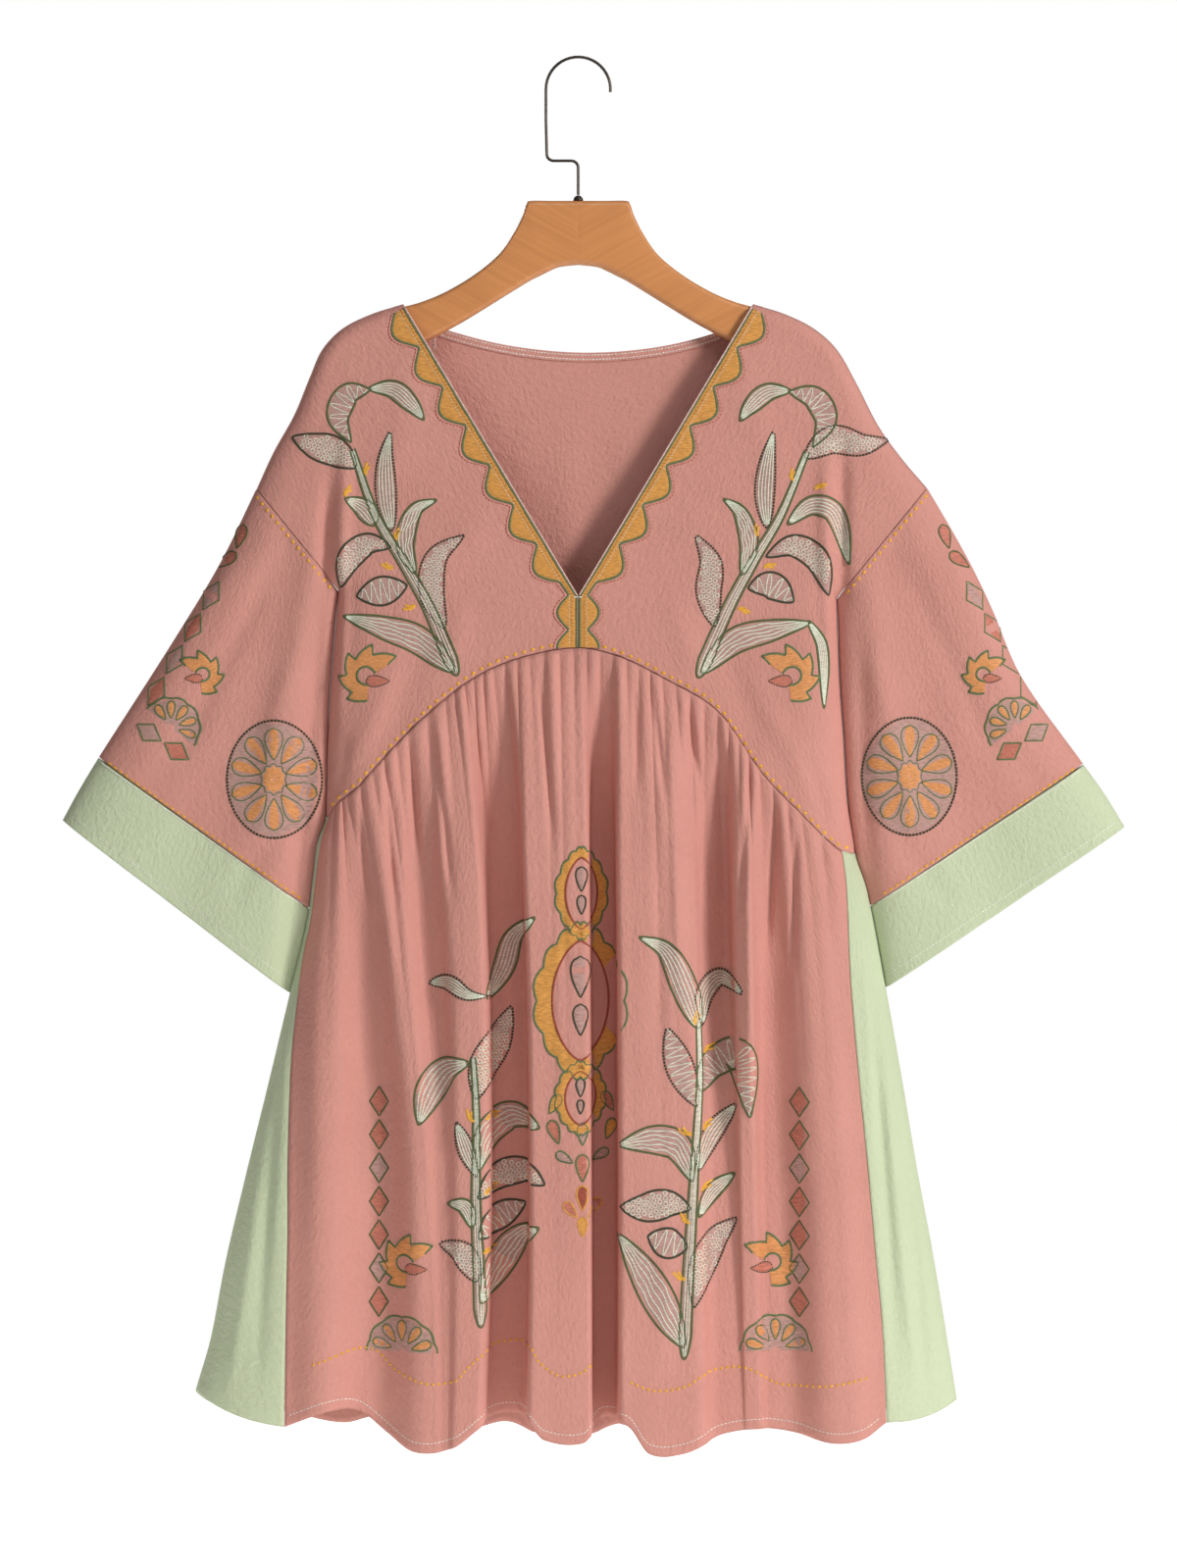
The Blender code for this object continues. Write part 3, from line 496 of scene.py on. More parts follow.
neck = line(binding_foot(2 * HALF_SEAM))
tops = {}
for side in SIDES:
    start = neck(0.0) if side == LEFT else neck(1.0)
    tops[side] = [tuple(start)] + list(SHOULDER[side][1:-1]) + [tuple(armhole(side, 0, HALF_SEAM))]
back_top = joined((NECK_START, line(tops[LEFT][::-1])), (1 - NECK_START, neck),
                  (1.0, line(tops[RIGHT])))
surface = patch(waist_edge(BACK_WAIST, BACK_WAIST[0][0], BACK_WAIST[-1][0]), back_top,
                bodice_outer_edge(LEFT), bodice_outer_edge(RIGHT))
shares = np.sort(np.append(eased(100), UNDERARM_ROW))
half = np.concatenate([NECK_START * eased(36)[:-1], NECK_START + (0.5 - NECK_START) * eased(42)[:-1]])
back_columns = np.concatenate([half, [0.5], 1 - half[::-1]])
flat = surface(*np.meshgrid(back_columns, shares))
out = creased(flat, YOKE_BACK_CREASES) * np.clip(stand_off(flat) / CREASE_ROOM, 0, 1)
places = body_points(flat, BACK, out)
places[-1, np.abs(back_columns - 0.5) > 0.5 - NECK_START, 1] = BACK * HALF_SEAM
yoke_back = cloth("yoke_back", places, pink, "back_bodice")


# Back neck binding: a bias strip folded over the raw edge and held by two rows of stitches.
# It is thicker than the cloth, and its top edge is the fold.
upper = line(BACK_NECK)
lower = line(binding_foot(2 * HALF_SEAM - SEAM_SHOWN))
share, down = np.meshgrid(eased(150), np.linspace(0, 1, 9))
flat = upper(share) * (1 - down[..., None]) + lower(share) * down[..., None]
binding = cloth("neck_binding", body_points(flat, BACK), pink,
                "back_neck_binding", wall=1.8)


# Sleeves: wide, cut straight and set to the dropped shoulder, each one tube of pink cotton
# that hangs flat, folded along its outer edge and under the arm.
SOFT_SLEEVE_FOLD = 2.2
ARMHOLE_BLEND = 0.1
SLEEVE_SEAM_Z = {LEFT: -632.0, RIGHT: -630.0}
CUFF_EDGE_Z = {LEFT: -695.0, RIGHT: -691.0}
CUFF_BACK_DROP = 2.5
SLEEVE_CREASES = {
    LEFT: ((-222, -360, -300, -540, 9, -2.6), (-208, -420, -240, -600, 8, 2.6),
           (-240, -350, -320, -500, 10, 1.6), (-191, -360, -216, -760, 8, -6),
           (-270, -480, -330, -560, 11, -1.4), (-215, -560, -262, -640, 9, -1.6)),
    RIGHT: ((240, -360, 310, -540, 9, -2), (215, -420, 250, -600, 8, 2),
            (262, -350, 340, -500, 10, 1.6), (206, -390, 224, -720, 7, -3),
            (290, -480, 350, -560, 11, -1.4), (232, -560, 280, -640, 9, -1.6)),
}


def tube(name, outer, inner, lift, rows, spokes, side, material, slot, node, back_drop=0.0, sewn=False):
    """A flattened tube between an outer and an inner fold line, its front and back creased."""
    turn, t = np.meshgrid(np.linspace(0, 1, spokes + 1), rows)
    share = (1 - np.cos(2 * math.pi * turn)) / 2
    face = np.where(turn % 1.0 < 0.5, FRONT, BACK)
    place = outer(t) * (1 - share[..., None]) + inner(t) * share[..., None] + lift(share, t)
    place[..., 1] -= np.where(face == BACK, back_drop * np.sin(math.pi * share) * t, 0.0)
    y = stand_off(place, side)
    y += SOFT_SLEEVE_FOLD * np.sin(3 * math.pi * share) * np.sin(math.pi * share) ** 2
    y += creased(place, SLEEVE_CREASES[side]) * np.clip(y / CREASE_ROOM, 0, 1)
    if sewn:
        yoke = stand_off(place)
        yoke_creases = np.where(face == FRONT, creased(place, YOKE_FRONT_CREASES),
                                creased(place, YOKE_BACK_CREASES))
        yoke += HALF_SEAM + yoke_creases * np.clip(yoke / CREASE_ROOM, 0, 1)
        y += (yoke - y) * np.clip(1 - t / ARMHOLE_BLEND, 0, 1) ** 2
    y = np.where((share < 1e-6) | (share > 1 - 1e-6), 0.0, y)
    places = np.stack([place[..., 0], face * y, place[..., 1]], -1)
    return cloth(name, places, material, node, tube=True)


sleeves = {}
for side, away in ((LEFT, -1), (RIGHT, 1)):
    start = armhole(side, 0, -HALF_SEAM)
    outer = line([tuple(start)] + list(SLEEVE_OUTER[side][1:]))
    under = armhole(side, 1, -HALF_SEAM) + np.array((away * SLEEVE_ROOM, -HALF_SEAM))

    def inner(t):
        z = under[1] + (SLEEVE_SEAM_Z[side] - under[1]) * t
        return np.stack([side_x(side, z) + away * SLEEVE_ROOM, z], -1)

    def lift(share, t):
        seam = armhole(side, share, -HALF_SEAM)
        chord = start * (1 - share[..., None]) + under * share[..., None]
        return (seam - chord) * ((1 - share ** 10) * np.clip(1 - t / 0.1, 0, 1))[..., None]

    sleeves[side] = tube(f"wide_sleeve_{side}", outer, inner, lift, eased(86), 132, side, pink,
                         "pink_cloth", f"sleeve_{side}", sewn=True)


# Cuffs: a straight green band sewn to each sleeve's end and hemmed at its lower edge.
# It hangs on the sleeve, folded flat with it.
cuffs = {}
for side, away in ((LEFT, -1), (RIGHT, 1)):
    edge = line(CUFF_OUTER[side])
    along = edge(1.0) - edge(0.0)
    start = edge(0.0) + unit(along) * HALF_SEAM
    outer = line([tuple(start)] + list(CUFF_OUTER[side][1:]))
    seam_z = SLEEVE_SEAM_Z[side] - 4 * HALF_SEAM

    def inner(t):
        z = seam_z + (CUFF_EDGE_Z[side] - seam_z) * t
        return np.stack([side_x(side, z) + away * SLEEVE_ROOM, z], -1)

    cuffs[side] = tube(f"cuff_band_{side}", outer, inner, lambda share, t: 0.0, eased(30), 132, side,
                       green, "green_cloth", f"cuff_{side}", back_drop=CUFF_BACK_DROP)


# Skirt: a front and a back panel of pink cotton, gathered into the raised waist seam.
# Each row is a crest or valley line: x at seam, middle and hem, how far it stands out a
# quarter of the way down, at 0.6 and at the hem, gathers to the next, and its flank's slope.
GORE_SEAM = {
    LEFT: ((-184.5, -563), (-190.4, -582), (-198.5, -642), (-203.5, -665), (-209, -711),
           (-212, -745), (-214, -815), (-214, -872), (-215, -930), (-216, -1013)),
    RIGHT: ((195, -588.6), (198, -613), (201, -685), (207, -757), (214, -829), (219, -887),
            (224, -942), (227, -1010)),
}
FRONT_FOLDS = (
    (-184.5, -213, -216, 0, 0, 0, 1, 0),
    (-179, -188, -191, 3, 5, 8, 2, 0.02),
    (-170, -147, -157, -6, -11, -10, 2, 0.03),
    (-152, -118, -106, 6, 9, 11, 3, 0.04),
    (-126, -104, -98, -8, 4, 9, 2, 0.06),
    (-98, -84, -88, 9, 11, 12, 5, 0.15),
    (-63, -47, -51, -20, -22, -22, 3, 0.15),
    (-36, -26, -25, 8, 10, 11, 3, 0),
    (-3, 0, 3, 9, 12, 12, 2, 0.15),
    (16, 18, 17, -22, -25, -25, 2, 0.15),
    (36, 41, 42, 8, 10, 11, 3, 0),
    (62, 72, 75, 7, 9, 10, 4, 0.1),
    (104, 110, 116, -17, -9, -5, 2, 0.12),
    (119, 124, 130, 6, 1, -4, 2, 0.06),
    (134, 140, 144, -9, -12, -10, 3, 0.05),
    (165, 186, 199, 5, 6, 8, 2, 0.02),
    (195, 211, 227, 0, 0, 0, 0, 0),
)
BACK_FOLDS = (
    (-184.5, -213, -216, 0, 0, 0, 2, 0),
    (-150, -172, -176, 4, 7, 9, 3, 0.04),
    (-118, -136, -139, -3, -6, -9, 3, 0.06),
    (-82, -94, -97, 4, 8, 11, 4, 0.09),
    (-42, -49, -53, -5, -10, -13, 3, 0.1),
    (-8, -9, -11, 5, 10, 13, 4, 0.08),
    (34, 33, 31, -4, -8, -11, 3, 0.06),
    (72, 77, 79, 4, 8, 10, 3, 0.05),
    (112, 121, 124, -4, -8, -10, 3, 0.06),
    (150, 168, 175, 4, 7, 9, 2, 0.04),
    (195, 211, 227, 0, 0, 0, 0, 0),
)
FRONT_HEM = ((-216, -1013), (-184, -1001), (-162, -1002), (-140, -1018), (-120, -1030),
             (-92, -1027), (-67, -1009), (-50, -1005), (-37, -1009), (-25, -1021), (4, -1023),
             (16, -1010), (27, -1009), (38, -1012), (52, -1031), (78, -1031), (106, -1019),
             (134, -1015), (160, -1018), (187, -1024), (210, -1021), (227, -1010))
BACK_HEM = ((-216, -1013), (-176, -1022), (-139, -1012), (-97, -1030), (-53, -1018),
            (-11, -1038), (31, -1020), (79, -1032), (124, -1016), (175, -1024), (227, -1010))
GATHER_HEIGHT = 5.2
GATHER_AT_SEAM = 0.35
GATHER_SWELL = 0.025
GATHER_FADE = 0.13
STEEPER = 4.0
SKIRT_CREASES = {
    FRONT: ((-146, -490, -134, -640, 2.7, -4.4), (-128, -465, -116, -610, 2.7, -4.8),
            (-112, -450, -92, -640, 3, -4.4), (-164, -505, -155, -640, 2.6, -3.4),
            (-86, -430, -66, -600, 2.8, -3.8), (-30, -430, -18, -600, 2.8, -3.2),
            (56, -430, 63, -560, 2.7, -4.2), (72, -430, 94, -560, 2.8, -3.8),
            (132, -490, 118, -640, 3, -4.4), (148, -520, 140, -680, 3, -4.2),
            (164, -545, 156, -690, 2.8, -3.4), (40, -430, 44, -560, 2.7, -3),
            (104, -470, 112, -800, 8, -7), (122, -480, 130, -820, 8, 6),
            (80, -455, 86, -740, 4.5, -4.2), (69, -450, 72, -700, 4, 2.2),
            (-140, -490, -128, -700, 4.5, -3.4), (-104, -460, -100, -640, 4, 2.4),
            (-172, -590, -150, -800, 9, -2.6), (-188, -600, -196, -900, 8, 2),
            (-98, -540, -94, -790, 7, -2.4), (-60, -600, -46, -800, 6, 1.8),
            (-20, -520, -8, -700, 5, -1.4), (60, -560, 62, -760, 7, -1.6),
            (90, -560, 96, -720, 5, 1.6), (150, -640, 168, -860, 7, 1.8),
            (-168, -640, -170, -860, 8, -1.6), (-140, -620, -132, -760, 6, 1.5),
            (-110, -820, -108, -980, 8, -1.4), (20, -860, 30, -1000, 7, 1.2),
            (150, -840, 172, -1000, 8, -1.5), (60, -820, 66, -990, 8, 1.4)),
    BACK: ((-160, -620, -165, -840, 7, 1.6), (-100, -560, -110, -760, 7, -1.6),
           (-60, -560, -66, -800, 6, 1.6), (10, -540, 6, -760, 6, -1.5),
           (60, -560, 66, -780, 6, 1.6), (110, -600, 124, -820, 7, -1.6)),
}


def gore_seam_x(side, z):
    """The seam between skirt and gore at a height."""
    return read([(point[1], point[0]) for point in GORE_SEAM[side]], z)


def down_curve(seam, middle, hem, v):
    """A fold line's place on its way from the seam through the middle to the hem."""
    return seam * (1 - v) * (1 - 2 * v) + 4 * middle * v * (1 - v) + hem * v * (2 * v - 1)


def gathered(count, v):
    """The small gathers: uneven ridges that swell below the seam and fade into the folds."""
    number = np.floor(count)
    fade = GATHER_FADE * (1.1 + 0.6 * np.sin(1.7 * number))
    height = GATHER_HEIGHT * (0.68 + 0.32 * np.sin(2.4 * number))
    swell = GATHER_AT_SEAM + (1 - GATHER_AT_SEAM) * np.minimum(v / GATHER_SWELL, 1.0)
    ridge = np.abs(np.sin(math.pi * count)) ** 0.85
    return height * swell * ridge * np.exp(-v / fade)


def skirt(name, folds, hem, waist, face, columns, rows, node):
    """A gathered panel between the gores, hung from the waist seam."""
    folds = np.array(folds, float)
    gathers = np.concatenate([[0.0], np.cumsum(folds[:-1, 6])])
    count, v = np.meshgrid(np.linspace(0, gathers[-1], columns), rows)
    index = np.clip(np.searchsorted(gathers, count, side="right") - 1, 0, len(folds) - 2)
    share = (count - gathers[index]) / (gathers[index + 1] - gathers[index])
    first, second = folds[index], folds[index + 1]
    roll = first[..., 7] * np.minimum(v / 0.25, 1.0)
    along = (share + roll * np.sin(2 * math.pi * share))[..., None]
    x = first[..., :3] + (second[..., :3] - first[..., :3]) * along
    top = read(waist, x[..., 0]) - WAIST_SEAM
    z = top + (read(hem, x[..., 2]) - top) * v
    outs = np.zeros((len(folds),) + v.shape)
    for k, row in enumerate(folds):
        outs[k] = read(((0.0, 0.0), (0.25, row[3]), (0.6, row[4]), (1.0, row[5])), v)
    grid = np.indices(v.shape)
    steep = np.clip(0.5 + (share - 0.5) * (1 + STEEPER * first[..., 7]), 0, 1)
    blend = (1 - np.cos(math.pi * steep)) / 2
    out = outs[index, grid[0], grid[1]] * (1 - blend) + outs[index + 1, grid[0], grid[1]] * blend
    inside = np.clip(np.minimum(count, gathers[-1] - count) / 0.3, 0, 1)
    out += gathered(count, v) * inside
    place_x = down_curve(x[..., 0], x[..., 1], x[..., 2], v)
    for side, end, row, way in ((LEFT, 0, 0, 1), (RIGHT, len(folds) - 2, -1, -1)):
        seam_x = gore_seam_x(side, z) + way * HALF_SEAM
        pull = seam_x - down_curve(*folds[row, :3], v)
        place_x += np.where(index == end, pull * (1 - share if side == LEFT else share), 0.0)
    flat = np.stack([place_x, z], -1)
    out += creased(flat, SKIRT_CREASES[face]) * inside * np.clip(v / 0.08, 0, 1)
    return cloth(name, body_points(flat, face, out - HALF_SEAM), pink, node)


skirt_front = skirt("gathered_skirt_front", FRONT_FOLDS, FRONT_HEM, FRONT_WAIST, FRONT, 390,
                    eased(112, 0.3), "front_skirt")
skirt_back = skirt("gathered_skirt_back", BACK_FOLDS, BACK_HEM, BACK_WAIST, BACK, 200, eased(90, 0.3),
                   "back_skirt")


# Gores: green godets let into both side seams, so that the hem swings out.
# Each is folded along the dress's outline, with a seam to the front and to the back panel.
GORE_HEM_OUTER = {LEFT: (-284, -991), RIGHT: (281, -997)}
GORE_HEM_SAG = 4.0
GORE_EDGE_PULL = 0.6
GORE_CREASES = {
    LEFT: ((-222, -740, -236, -1010, 5, -2.4), (-236, -800, -258, -1010, 5, 2.4),
           (-216, -690, -222, -930, 4, 1.6)),
    RIGHT: ((216, -690, 236, -1010, 4.5, -2.8), (226, -720, 250, -1010, 4.5, 2.8),
            (236, -760, 262, -1010, 4.5, -2.6), (210, -660, 218, -840, 3.5, 1.6)),
}
for side, away in ((LEFT, -1), (RIGHT, 1)):
    seam_top = GORE_SEAM[side][0][1] - WAIST_SEAM
    fold_top = (FRONT_WAIST[0] if side == LEFT else FRONT_WAIST[-1])[1] - WAIST_SEAM
    turn, t = np.meshgrid(np.linspace(-1, 1, 61), eased(110, 0.3))
    reach = np.cos(turn * math.pi / 2)
    seam_z = seam_top + (GORE_SEAM[side][-1][1] - seam_top) * t
    fold_z = fold_top + (GORE_HEM_OUTER[side][1] - fold_top) * t
    start = np.stack([gore_seam_x(side, seam_z) + away * HALF_SEAM, seam_z], -1)
    fold = np.stack([side_x(side, fold_z), fold_z], -1)
    flat = start + (fold - start) * reach[..., None]
    flat[..., 1] -= GORE_HEM_SAG * np.sin(math.pi * reach) * t ** 4
    y = stand_off(flat)
    y += creased(flat, GORE_CREASES[side]) * np.sin(math.pi * reach) * np.clip(y / 8.0, 0, 1)
    rounding = read(BODY_SECTIONS, flat[..., 1], 2)
    pull = np.clip(1 - away * (side_x(side, flat[..., 1]) - flat[..., 0]) / rounding, 0, None)
    y = np.where(reach < 0.01, y - GORE_EDGE_PULL * pull, y)
    y = np.where(np.abs(turn) < 1e-6, 0.0, y) * np.sign(turn)
    gore = cloth(f"gore_{side}", np.stack([flat[..., 0], y, flat[..., 1]], -1), green,
                 f"side_gore_{side}")


# Hanger: two pieces of light wood, sawn to a curve, rounded over and glued at the middle.
# The grain of each half runs along its own arm, and the whole is varnished.
HANGER_THICKNESS = 12.0
HANGER_ROUNDING = 4.6
HANGER_ROOM = 1.4
HANGER_OPEN = (
    # x and z above, x and z below, share of the full thickness; from the joint to the cloth
    (0.03, -106.2, 0.03, -153.5, 0.86), (0.5, -106.2, 0.45, -153.6, 1), (20, -106.2, 14, -155.2, 1),
    (35.4, -106.2, 22, -158.5, 1), (38.6, -108.6, 28, -161.5, 1), (41.5, -117, 36, -165.5, 1),
    (48, -130, 50, -174, 1), (59, -146, 66, -184, 1), (77, -161, 84, -195, 1),
    (98, -173.6, 104, -206, 1), (116, -181.2, 120, -214, 1),
)
# Under the cloth its upper edge follows the shoulder: share of the shoulder, x and z below
HANGER_COVERED = ((0.01, 134, -219.5), (0.07, 146, -223.5), (0.13, 157, -226.8),
                  (0.19, 166, -229), (0.25, 172, -230.6), (0.3, 176, -231.2))
HANGER_END = ((184.4, -216, 181.5, -229.5, 0.93), (186, -220.5, 185, -225.5, 0.6))


def hanger_half(side, finish, rounds=9, steps=7):
    """One rounded arm, lofted through its sections from the middle joint to its end."""
    shoulder = line([(-x, z) for x, z in SHOULDER[LEFT]])
    stations = list(HANGER_OPEN)
    for share, under_x, under_z in HANGER_COVERED:
        ahead = shoulder(share + 0.01) - shoulder(share - 0.01)
        top = shoulder(share) + unit(np.array((ahead[1], -ahead[0]))) * HANGER_ROOM
        stations.append((*top, under_x, under_z, 1))
    stations = np.array(stations + list(HANGER_END), float)
    rows = np.column_stack([np.arange(len(stations)), stations])
    at = np.linspace(0, len(stations) - 1, steps * (len(stations) - 1) + 1)
    top_x, top_z, under_x, under_z, share = (read(rows, at, column) for column in range(1, 6))
    height = np.hypot(under_x - top_x, under_z - top_z)
    rounding = np.minimum(HANGER_ROUNDING * share, height / 2.2)[:, None]
    half = (HANGER_THICKNESS / 2 * share)[:, None]
    angle = np.linspace(math.pi / 2, 0, rounds)
    down = rounding * (1 - np.sin(angle))
    out = half - rounding * (1 - np.cos(angle))
    down = np.concatenate([down, height[:, None] - down[:, ::-1]], 1)
    out = np.concatenate([out, out[:, ::-1]], 1)
    down = np.concatenate([down, down[:, ::-1], down[:, :1]], 1) / height[:, None]
    out = np.concatenate([out, -out[:, ::-1], out[:, :1]], 1)
    x = top_x[:, None] + (under_x - top_x)[:, None] * down
    z = top_z[:, None] + (under_z - top_z)[:, None] * down
    places = np.stack([x * (-1 if side == LEFT else 1), out, z], -1)
    bm = bmesh.new()
    lay_grid(bm, places, MM)
    bmesh.ops.remove_doubles(bm, verts=bm.verts[:], dist=1e-6)
    bmesh.ops.holes_fill(bm, edges=[edge for edge in bm.edges if edge.is_boundary], sides=0)
    bmesh.ops.recalc_face_normals(bm, faces=bm.faces[:])
    piece = add_piece(f"hanger_arm_{side}", bm, finish)
    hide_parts(f"hanger_{side}_half")


def ramp_node(tree, low, high, stops=(0.0, 1.0)):
    """A ramp between two colours."""
    ramp = show_node(tree, "ValToRGB")
    for element, stop, colour in zip(ramp.color_ramp.elements, stops, (low, high)):
        element.position = stop
        element.color = (*colour, 1.0)
    return ramp


def grained(name, way, noise, low, high, stops, bump_strength, **values):
    """A material with a stretched noise in its colour and its relief, and its base."""
    material, tree, shader = new_material(name, **values)
    place = show_node(tree, "TexCoord")
    noise = show_node(tree, "TexNoise", Scale=1.0, **noise)
    ramp = ramp_node(tree, low, high, stops)
    bump = show_node(tree, "Bump", Strength=bump_strength, Distance=0.0004)
    before = (place, "Object")
    for step in way:
        mapping = show_node(tree, "Mapping", **step)
        link(tree, (*before, mapping, "Vector"))
        before = (mapping, "Vector")
    link(tree, (*before, noise, "Vector"), (noise, "Fac", ramp, "Fac"),
         (ramp, "Color", shader, "Base Color"), (noise, "Fac", bump, "Height"),
         (bump, "Normal", shader, "Normal"))
    return material


def wood(name, turn):
    """Varnished light wood whose grain slants by an angle in the front view."""
    return grained(name, ({"Rotation": (0.0, turn, 0.0)}, {"Scale": (7.0, 60.0, 240.0)}),
                   {"Detail": 5.0, "Roughness": 0.6, "Distortion": 0.4}, (0.595, 0.235, 0.078),
                   (0.69, 0.288, 0.098), (0.3, 0.7), 0.08,
                   Roughness=0.42, Coat_Weight=0.2, Coat_Roughness=0.25)


for side, turn in ((LEFT, -0.5), (RIGHT, 0.5)):
    hanger_half(side, wood(f"varnished_wood_{side}", turn))


# Hook: steel wire bent to a round hook and a crank, with a small pressed collar at its foot.
# Both are dull grey-brown.
steel, tree, shader = new_material("dull_steel", Metallic=0.8, Roughness=0.45)
tarnish = show_node(tree, "TexNoise", Scale=300.0, Detail=3.0)
ramp = ramp_node(tree, (0.03, 0.024, 0.018), (0.09, 0.07, 0.055))
link(tree, (show_node(tree, "TexCoord"), "Object", tarnish, "Vector"), (tarnish, "Fac", ramp, "Fac"),
     (ramp, "Color", shader, "Base Color"))
for node in ("hook_wire", "hook_collar"):
    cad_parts[node].data.materials.clear()
    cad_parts[node].data.materials.append(steel)


# Embroidery threads: twisted cotton laid on the cloth and sewn down, as outlines, stripes,
# rings and satin patches. Each group is drawn in the front view and laid on its own panel.
THREAD_COLOURS = (
    # name, linear red, green, blue
    ("olive", 0.11, 0.13, 0.05), ("dark", 0.055, 0.055, 0.03), ("mint", 0.76, 0.78, 0.62),
    ("mauve", 0.52, 0.3, 0.255), ("orange", 0.74, 0.31, 0.11), ("gold", 0.72, 0.33, 0.075),
    ("terracotta", 0.58, 0.19, 0.13), ("cream", 0.95, 0.9, 0.82), ("rose", 0.72, 0.3, 0.24),
    ("rust", 0.36, 0.08, 0.045), ("green", 0.14, 0.19, 0.08), ("amber", 0.88, 0.44, 0.05),
    ("blush", 0.86, 0.6, 0.54),
)
THREADS = [row[0] for row in THREAD_COLOURS]
PIXEL = 0.73
MIDDLE_PIXEL = 589.5
HOOK_PIXEL = 60.0
LAY_STEP = 1.3
THREAD_ROUND = 0.42
SUNK = 0.1 * MM
THREAD_JUMP = 7.0 * MM
SATIN_JUMP = 9.0 * MM


def thread_material(name, colour):
    """Mercerised cotton thread: a little shine, and the fine twist of stitches side by side, painted
    darker in the twist's hollows and lighter on its ridges: painted shade and painted highlight.
    """
    return grained(f"thread_{name}", ({"Rotation": (0.0, 0.5, 0.0), "Scale": (260.0, 60.0, 1500.0)},),
                   {"Detail": 2.0, "Roughness": 0.6}, [0.66 * part for part in colour],
                   [min(1.12 * part, 1.0) for part in colour], (0.3, 0.68), 0.5,
                   Roughness=0.6, Specular_IOR_Level=0.3)


thread_materials = [thread_material(row[0], row[1:]) for row in THREAD_COLOURS]


def px(*points):
    """Places in the front view, in millimetres, from picture pixels."""
    points = np.array(points, float)
    across, down = points[..., 0] - MIDDLE_PIXEL, points[..., 1] - HOOK_PIXEL
    return np.stack([across * PIXEL, -down * PIXEL], -1)


def smooth(points, step=LAY_STEP):
    """A smooth line through a few places, as evenly spaced points."""
    points = np.array(points, float)
    length = np.hypot(*np.diff(points, axis=0).T).sum()
    return line(points)(np.linspace(0, 1, max(int(length / step), 3)))


def aside(points, by):
    """A line moved to its left by a distance, which may change along it."""
    ahead = np.gradient(points, axis=0)
    ahead /= np.maximum(np.hypot(ahead[:, 0], ahead[:, 1]), 1e-9)[:, None]
    return points + np.stack([-ahead[:, 1], ahead[:, 0]], -1) * np.asarray(by)[..., None]


def between(points, lengths, stops):
    """Places on a line where its length reaches the stops."""
    return np.stack([np.interp(stops, lengths, points[:, k]) for k in range(2)], -1)


def turned(angle):
    """The direction at an angle, or the directions at several."""
    return np.stack([np.cos(angle), np.sin(angle)], -1)


